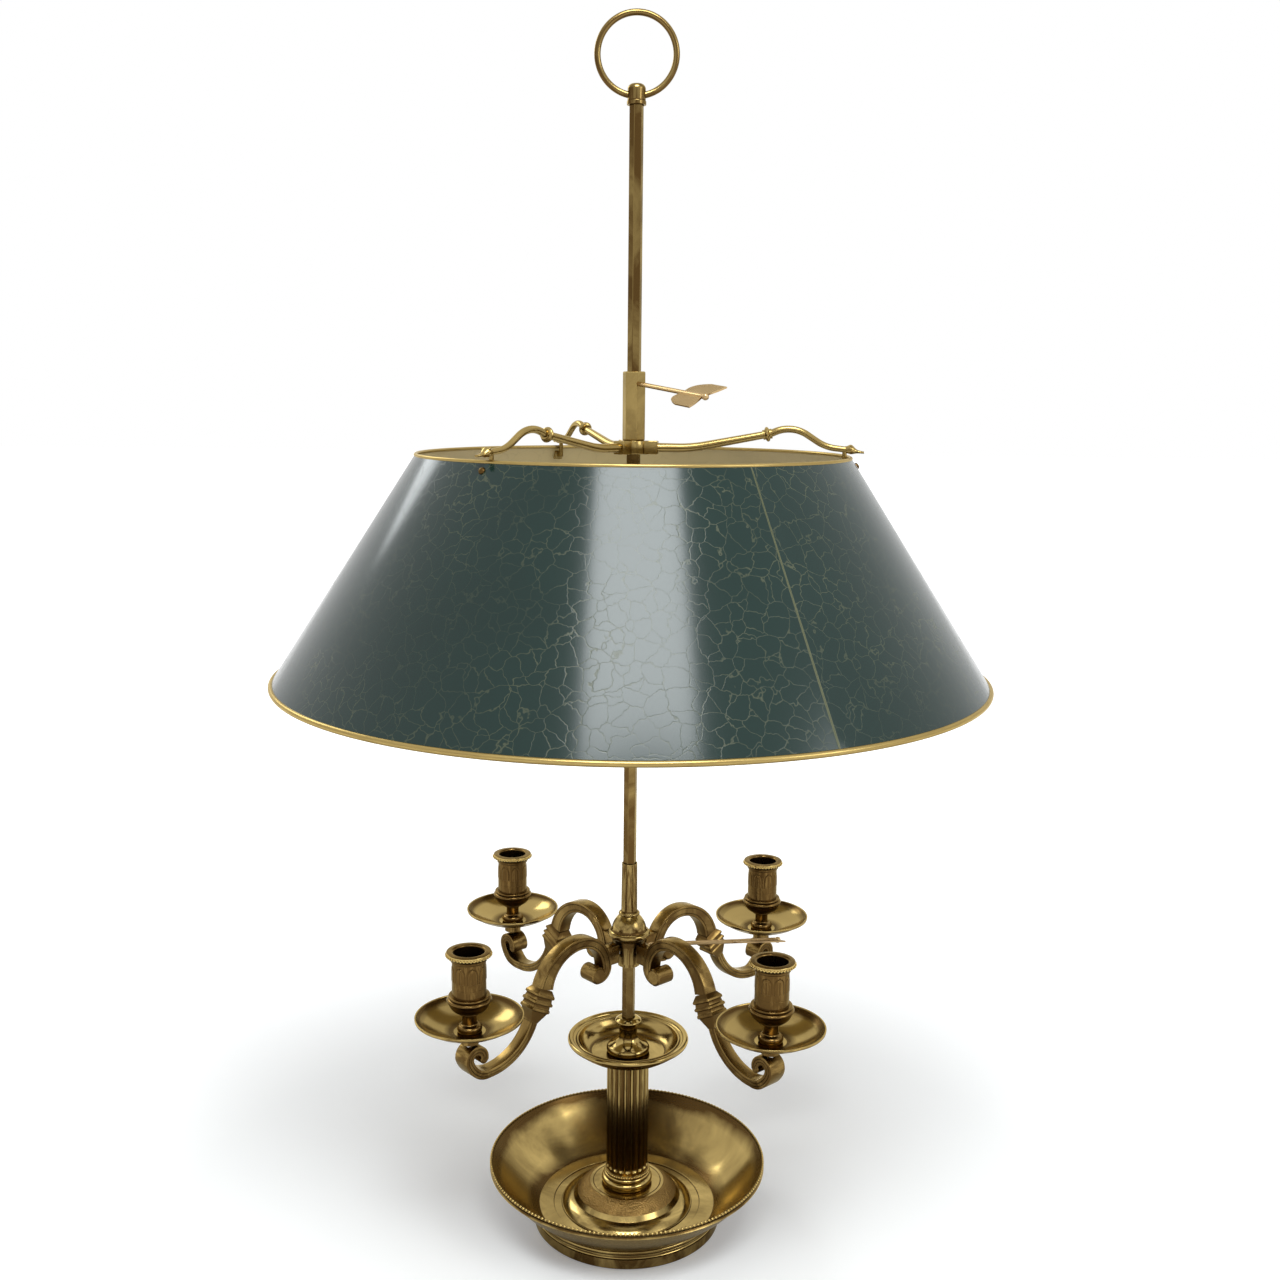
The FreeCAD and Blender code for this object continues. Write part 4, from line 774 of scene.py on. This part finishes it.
class LAMP_OT_carrier(Operator):
    """Sleeve, collar and the three bird-headed arms that carry the shade"""
    bl_idname = "lamp.carrier"
    bl_label = "Shade carrier"

    def execute(self, context):
        sleeve = polar_prism(six_sides(14.2, -103.4), 599.0, 647.0, .9, STEM_BORE)
        linked_piece("carrier_sleeve_cut", [sleeve], "shade_carrier", ["carrier_sleeve"], "carrier_brass", smooth=20.0)
        dress_node("carrier_guide_ring", "carrier brass")

        def star(angle):
            """Round collar with three square stubs: the larger of the circle and each stub's box, by angle."""
            reach = np.full_like(angle, 9.2)
            for k in range(SPIDER_COUNT):
                local = (angle - math.radians(SPIDER_TURN + 120 * k) + math.pi) % (2 * math.pi) - math.pi
                end = 17.5 / np.maximum(np.cos(local), .3)
                side = 4.4 / np.maximum(np.abs(np.sin(local)), 1e-3)
                reach = np.where(np.abs(local) < 1.0, np.maximum(reach, np.minimum(end, side)), reach)
            return reach

        collar = polar_prism(star, 589.5, 599.0, .8, STEM_BORE, 360)
        linked_piece("spider_collar_cut", [collar], "shade_carrier", ["spider_collar"], "carrier_brass", smooth=30.0)
        line, angles, marks = spider_line()
        path = np.stack([line[:, 0], 0 * angles, line[:, 1]], -1)
        up = np.stack([-np.sin(angles), 0 * angles, np.cos(angles)], -1)
        far = np.concatenate([[0], np.cumsum(np.linalg.norm(np.diff(line, axis=0), axis=1))])
        radius = 3.25 + (2.1 - 3.25) * far / far[-1]
        arm = carried(path, [0, 1, 0], up, radius, radius)
        x, z, heading = marks[2]
        bead = np.array([(-3.2, 2.9), (-3.2, 3.45), (-1.6, 3.45), (-1.4, 4.05), (-.8, 4.9), (0, 5.2), (.8, 4.9),
                         (1.4, 4.05), (1.6, 3.45), (3.2, 3.45), (3.2, 2.9)])
        way = np.array([math.cos(math.radians(heading)), 0, math.sin(math.radians(heading))])
        tall = np.array([-way[2], 0, way[0]])
        centre = np.array([x, 0, z])
        across = np.array([0, 1.0, 0])
        knuckle = carried(centre + bead[:, :1] * way, across, tall, bead[:, 1],
                          bead[:, 1], 0, 32)
        x, z, heading = marks[-1]
        s = np.linspace(0, 1, 40)
        reach = 13.0 * s
        skull = np.exp(-((reach - 4.2) / 2.9) ** 2)
        width = np.where(s < .97, 2.0 + 1.9 * skull + .75 * np.exp(-((reach - 11) / 2.2) ** 2) - .55 * s, 1.6)
        tall_half = .85 + 1.25 * (1 - s) ** 1.5 + 1.75 * skull
        lift = -1.9 * s ** .8 + .9 * skull
        spine = np.stack([x + reach - .6, 0 * s, z + lift], -1)
        head = carried(spine, across, [0, 0, 1.0], width, tall_half, 0, 28)
        eye = beads(1, 0, 0, .9)
        eyes = [(eye[0] * .9 + [x + 3.6, k * 3.0, z + 2.1],) + eye[1:] for k in (-1, 1)]
        post = carried(np.array([[148.1, 0, 581.2], [148.1, 0, 588.0], [148.1, 0, z]]),
                       across, [1.0, 0, 0], 1.6, 1.6)
        slope = np.array([SHADE_FOOT[0] - SHADE_TOP[0], SHADE_FOOT[1] - SHADE_TOP[1]])
        slope = slope / np.linalg.norm(slope)
        out = np.array([-slope[1], slope[0]])

        def on_shade(along, outward):
            """Point of the upright plane: down the slope by along and square to it by outward."""
            return np.array(SHADE_TOP) + along * slope + outward * out

        web_z = on_shade(6.6, 0)[1]
        web = block((148.1, -1.6, web_z - 2), (on_shade(6.6, -2.4)[0], 1.6, web_z + 2), .4)
        pad_a, pad_b = on_shade(3.4, -1.55), on_shade(9.8, -1.55)
        pad_path = np.array([[pad_a[0], 0, pad_a[1]], [pad_b[0], 0, pad_b[1]]])
        pad = carried(pad_path, across, [out[0], 0, out[1]], 3.4, 1.35, .7)
        drop = on_shade(6.6, 0)
        turns = np.array([(.9, 2.4), (1.3, 2.4), (1.9, 2.1), (2.35, 1.3), (2.5, .3)])
        screw_path = np.stack([drop[0] + turns[:, 0] * out[0], 0 * turns[:, 0], drop[1] + turns[:, 0] * out[1]], -1)
        screw = carried(screw_path, across, [slope[0], 0, slope[1]], turns[:, 1],
                        turns[:, 1])
        knuckles, screws = [], []
        for i in range(SPIDER_COUNT):
            turn = SPIDER_TURN + 120 * i
            linked_piece(f"spider_arm_{i + 1}_cast", [turned_by(arm, turn)], "shade_carrier", [f"spider_arm_{i + 1}"],
                         "carrier_brass")
            bird = [turned_by(p, turn) for p in [head, post, web, pad] + eyes]
            linked_piece(f"swan_head_{i + 1}_cast", bird, "shade_carrier", [f"swan_head_{i + 1}"], "carrier_brass")
            knuckles.append(turned_by(knuckle, turn))
            screws.append(turned_by(screw, turn))
        linked_piece("spider_knuckles_turned", knuckles, "shade_carrier", ["spider_knuckles"], "carrier_brass")
        linked_piece("shade_screw_heads", screws, "shade_carrier", ["shade_screws"], "screw_brass")
        return {"FINISHED"}


class LAMP_OT_shade(Operator):
    """Conical shade with its lapped seam and rolled edges"""
    bl_idname = "lamp.shade"
    bl_label = "Shade"

    def execute(self, context):
        count = 360
        spread = np.concatenate([[0, .03, .1, .3, .6], np.linspace(1, 359, count - 1), [359.7, 359.9]])
        angle = np.radians(SEAM_TURN + spread)
        t = np.linspace(0, 1, 40)[:, None]
        top, foot = np.array(SHADE_TOP), np.array(SHADE_FOOT)
        slope = (foot - top) / np.linalg.norm(foot - top)
        out = np.array([-slope[1], slope[0]])
        along = top + (foot - top) * t
        wrap = np.radians(SEAM_WRAP)
        far = angle - angle[0]
        lap = LAP_STEP * np.clip(1 - far / wrap, 0, 1)
        # The lap's edge is marked for a pale line in the crack colour: a painted highlight on the edge.
        seam = np.zeros((80, len(angle)))
        seam[:40, [0, 1, -1]] = 1.0
        wave = .12 * np.sin(3 * angle) * np.sin(math.pi * t)

        def shell(offset):
            """Cone: the slope's point moved outward by offset, then turned to each angle."""
            radius = along[:, :1] + out[0] * offset
            height = along[:, 1:] + out[1] * offset
            return ring_points(radius, angle, height)

        outside = shell(SHEET + lap[None] * (np.sin(math.pi * t) > .04) + wave * .5)
        inside = shell(0.0 + wave * .5)
        grid = np.concatenate([outside, inside[::-1]])
        piece = linked_piece("shade_skin_painted", [surface(grid, True, seam)], "shade_carrier", ["shade_skin"],
                             "shade_paint", ["green crackle", "gilt lining"], 20.0)
        normals = np.zeros(len(piece.data.polygons) * 3, np.float32)
        piece.data.polygons.foreach_get("normal", normals)
        facing = (normals.reshape(-1, 3)[:, :2] * face_centres(piece)[:, :2]).sum(1)
        piece.data.polygons.foreach_set("material_index", (facing < 0).astype(np.int32))
        around = full_turn(20)[:, None]
        for name, centre, radius in (("shade_top_rim", top, 1.3), ("shade_bottom_rim", foot, 2.0)):
            middle = centre + SHEET / 2 * out
            reach = middle[0] + radius * np.cos(around)
            ring = ring_points(reach, angle, middle[1] + radius * np.sin(around))
            linked_piece(name + "_rolled", [surface(ring, True)], "shade_carrier", [name], "shade_gilt",
                         ["gilt edge"])
        return {"FINISHED"}


def key_parts(barbs):
    """A key drawn along X: a turned shaft with a ball end, and two vanes cut with slanting barbs."""
    tip, end = 5.27, 112.77
    ball = np.radians(np.linspace(-50, 90, 10))
    shaft = np.concatenate([[(tip, 1.6), (end - 12, 1.6), (end - 10, 1.75), (end - 3, 1.75)],
                            np.stack([end + 2.3 * np.sin(ball), 2.3 * np.cos(ball)], -1)])
    count = len(shaft)
    path = np.stack([shaft[:, 0], 0 * shaft[:, 0], 0 * shaft[:, 0]], -1)
    rod = carried(path, [0, 1.0, 0], [0, 0, 1.0], shaft[:, 1], shaft[:, 1])
    rear, front = end - 3.5, end - 32.5
    across = np.linspace(0, 1, 26)[:, None]
    along = np.linspace(0, 1, 150)[None]
    low = front + 3 * across - 3.4 * np.sin(math.pi * across) + 12 * across ** 5
    high = rear + 7.5 * across + 1.2 * np.sin(math.pi * across)
    x = low + (high - low) * along
    y = 14.4 * across + 0 * along
    cut = np.clip(1 - np.abs((along * barbs + across * 2.6) % 1 - .5) * 9, 0, 1)
    inside = np.clip(np.minimum(along, 1 - along) * 30, 0, 1) * np.clip((across - .1) * 12, 0, 1)
    thick = .5 - .16 * cut * inside * np.clip((1 - across) * 9, 0, 1)
    vanes = []
    for side in (1, -1):
        face = np.stack([x, side * y, thick], -1)
        back = np.stack([x, side * y, -thick], -1)
        around = np.concatenate([face, back[:, ::-1]], 1)
        # The barb cuts are marked dark: painted shade in them, with patina.
        mark = np.concatenate([cut * inside, (cut * inside)[:, ::-1]], 1)
        points, quads, _ = surface(capped(around))
        vanes.append((points, quads, np.concatenate([mark[:1], mark, mark[-1:]]).reshape(-1)))
    return rod, vanes


class LAMP_OT_keys(Operator):
    """The two arrow keys with their feather vanes"""
    bl_idname = "lamp.keys"
    bl_label = "Arrow keys"

    def execute(self, context):
        rod, vanes = key_parts(context.scene.lamp_sizes.barbs)
        for body, stem, turn, height, droop, roll in KEY_PLACES:
            r, d = math.radians(roll), math.radians(droop)
            rolled = np.array([[1, 0, 0], [0, math.cos(r), math.sin(r)], [0, -math.sin(r), math.cos(r)]])
            tilted = np.array([[math.cos(d), 0, -math.sin(d)], [0, 1, 0], [math.sin(d), 0, math.cos(d)]])

            def placed(part):
                """A part rolled about X, tilted about Y, then turned and lifted to its place."""
                return turned_by((part[0] @ rolled @ tilted,) + part[1:], turn, height)

            linked_piece(stem + "_shaft_turned", [placed(rod)], body, [stem + "_shaft"], "key_brass")
            linked_piece(stem + "_vanes_cut", [placed(v) for v in vanes], body, [stem + "_vanes"], "key_brass")
        return {"FINISHED"}


class LAMP_OT_stage(Operator):
    """Pale floor, white surroundings, soft lamps and the camera"""
    bl_idname = "lamp.stage"
    bl_label = "Studio"

    def execute(self, context):
        scene = context.scene
        scene.view_settings.view_transform = "Standard"
        mesh = bpy.data.meshes.new("studio_floor")
        mesh.from_pydata([(-14, -14, 0), (14, -14, 0), (14, 14, 0), (-14, 14, 0)], [], [(0, 1, 2, 3)])
        floor = bpy.data.objects.new("studio_floor", mesh)
        scene.collection.objects.link(floor)
        paint, tree, _ = new_finish("studio floor")
        tree.nodes.clear()
        away = add(tree, "VectorMath", {0: add(tree, "TexCoord").outputs["Object"]}, operation="LENGTH")
        fade = ramp(tree, away.outputs["Value"], .35, 1.5, .16)
        glow = add(tree, "Emission", {"Strength": calc(tree, "MULTIPLY", seen_rays(tree), fade)}).outputs[0]
        matt = add(tree, "BsdfDiffuse", {"Color": (.86, .86, .86, 1)}).outputs[0]
        add(tree, "OutputMaterial", {"Surface": add(tree, "AddShader", {0: matt, 1: glow}).outputs[0]})
        mesh.materials.append(paint)

        world = bpy.data.worlds.new("studio")
        world.use_nodes = True
        tree = world.node_tree
        tree.nodes.clear()
        level = ramp(tree, seen_rays(tree), 0.0, 1.0, .42, 1.0)
        sky = add(tree, "Background", {"Color": (1, 1, 1, 1), "Strength": level}).outputs[0]
        add(tree, "OutputWorld", {"Surface": sky})
        scene.world = world

        for name, place, target, power, wide, high in (
                ("window_lamp", (.07, -1.2, 2.35), (0, 0, .5), 46, 1.15, .95),
                ("fill_lamp", (1.9, -1.2, 1.5), (0, 0, .4), 14, 1.0, 1.0),
                ("back_lamp", (-1.6, 1.7, 1.7), (0, 0, .5), 10, .9, .9)):
            lamp = bpy.data.lights.new(name, "AREA")
            lamp.shape = "RECTANGLE"
            lamp.size, lamp.size_y, lamp.energy = wide, high, power
            lamp.color = (.94, .985, 1)
            holder = bpy.data.objects.new(name, lamp)
            holder.location = place
            toward = np.array(target) - np.array(place)
            holder.rotation_euler = Vector(toward).to_track_quat("-Z", "Y").to_euler()
            scene.collection.objects.link(holder)

        lens = bpy.data.cameras.new("camera")
        lens.lens, lens.sensor_width = 39.375, 36
        lens.clip_start, lens.clip_end = .02, 60
        camera = bpy.data.objects.new("camera", lens)
        camera.location = (.006, -1.0, .632)
        camera.rotation_mode = "XYZ"
        pitch, roll = math.radians(-10), math.radians(.585)
        forward = Vector((0, math.cos(pitch), math.sin(pitch)))
        camera.rotation_euler = (forward.to_track_quat("-Z", "Y") @
                                 Matrix.Rotation(roll, 3, "Z").to_quaternion()).to_euler()
        scene.collection.objects.link(camera)
        scene.camera = camera
        return {"FINISHED"}


OPERATORS = (LAMP_OT_stage, LAMP_OT_foot, LAMP_OT_column, LAMP_OT_stem, LAMP_OT_arms, LAMP_OT_cups, LAMP_OT_carrier,
             LAMP_OT_shade, LAMP_OT_keys)


class LAMP_PT_panel(Panel):
    """Lists the lamp's steps, sizes and colours"""
    bl_label = "Candle lamp"
    bl_idname = "LAMP_PT_panel"
    bl_space_type = "VIEW_3D"
    bl_region_type = "UI"
    bl_category = "Candle lamp"

    def draw(self, context):
        for group in (context.scene.lamp_sizes, context.scene.lamp_colours):
            for key in group.__annotations__:
                self.layout.prop(group, key)
        for step in OPERATORS:
            self.layout.operator(step.bl_idname)


CLASSES = (LampColours, LampSizes, LAMP_PT_panel) + OPERATORS


def register():
    """Registers the classes and hangs the two groups on the scene."""
    for kind in CLASSES:
        bpy.utils.register_class(kind)
    bpy.types.Scene.lamp_colours = PointerProperty(type=LampColours)
    bpy.types.Scene.lamp_sizes = PointerProperty(type=LampSizes)


def unregister():
    """Takes them off again."""
    del bpy.types.Scene.lamp_sizes
    del bpy.types.Scene.lamp_colours
    for kind in reversed(CLASSES):
        bpy.utils.unregister_class(kind)


def main():
    """Registers the classes and builds everything in order."""
    register()
    for step in OPERATORS:
        name = step.bl_idname.split(".")[1]
        getattr(bpy.ops.lamp, name)()


if __name__ == "__main__":
    main()
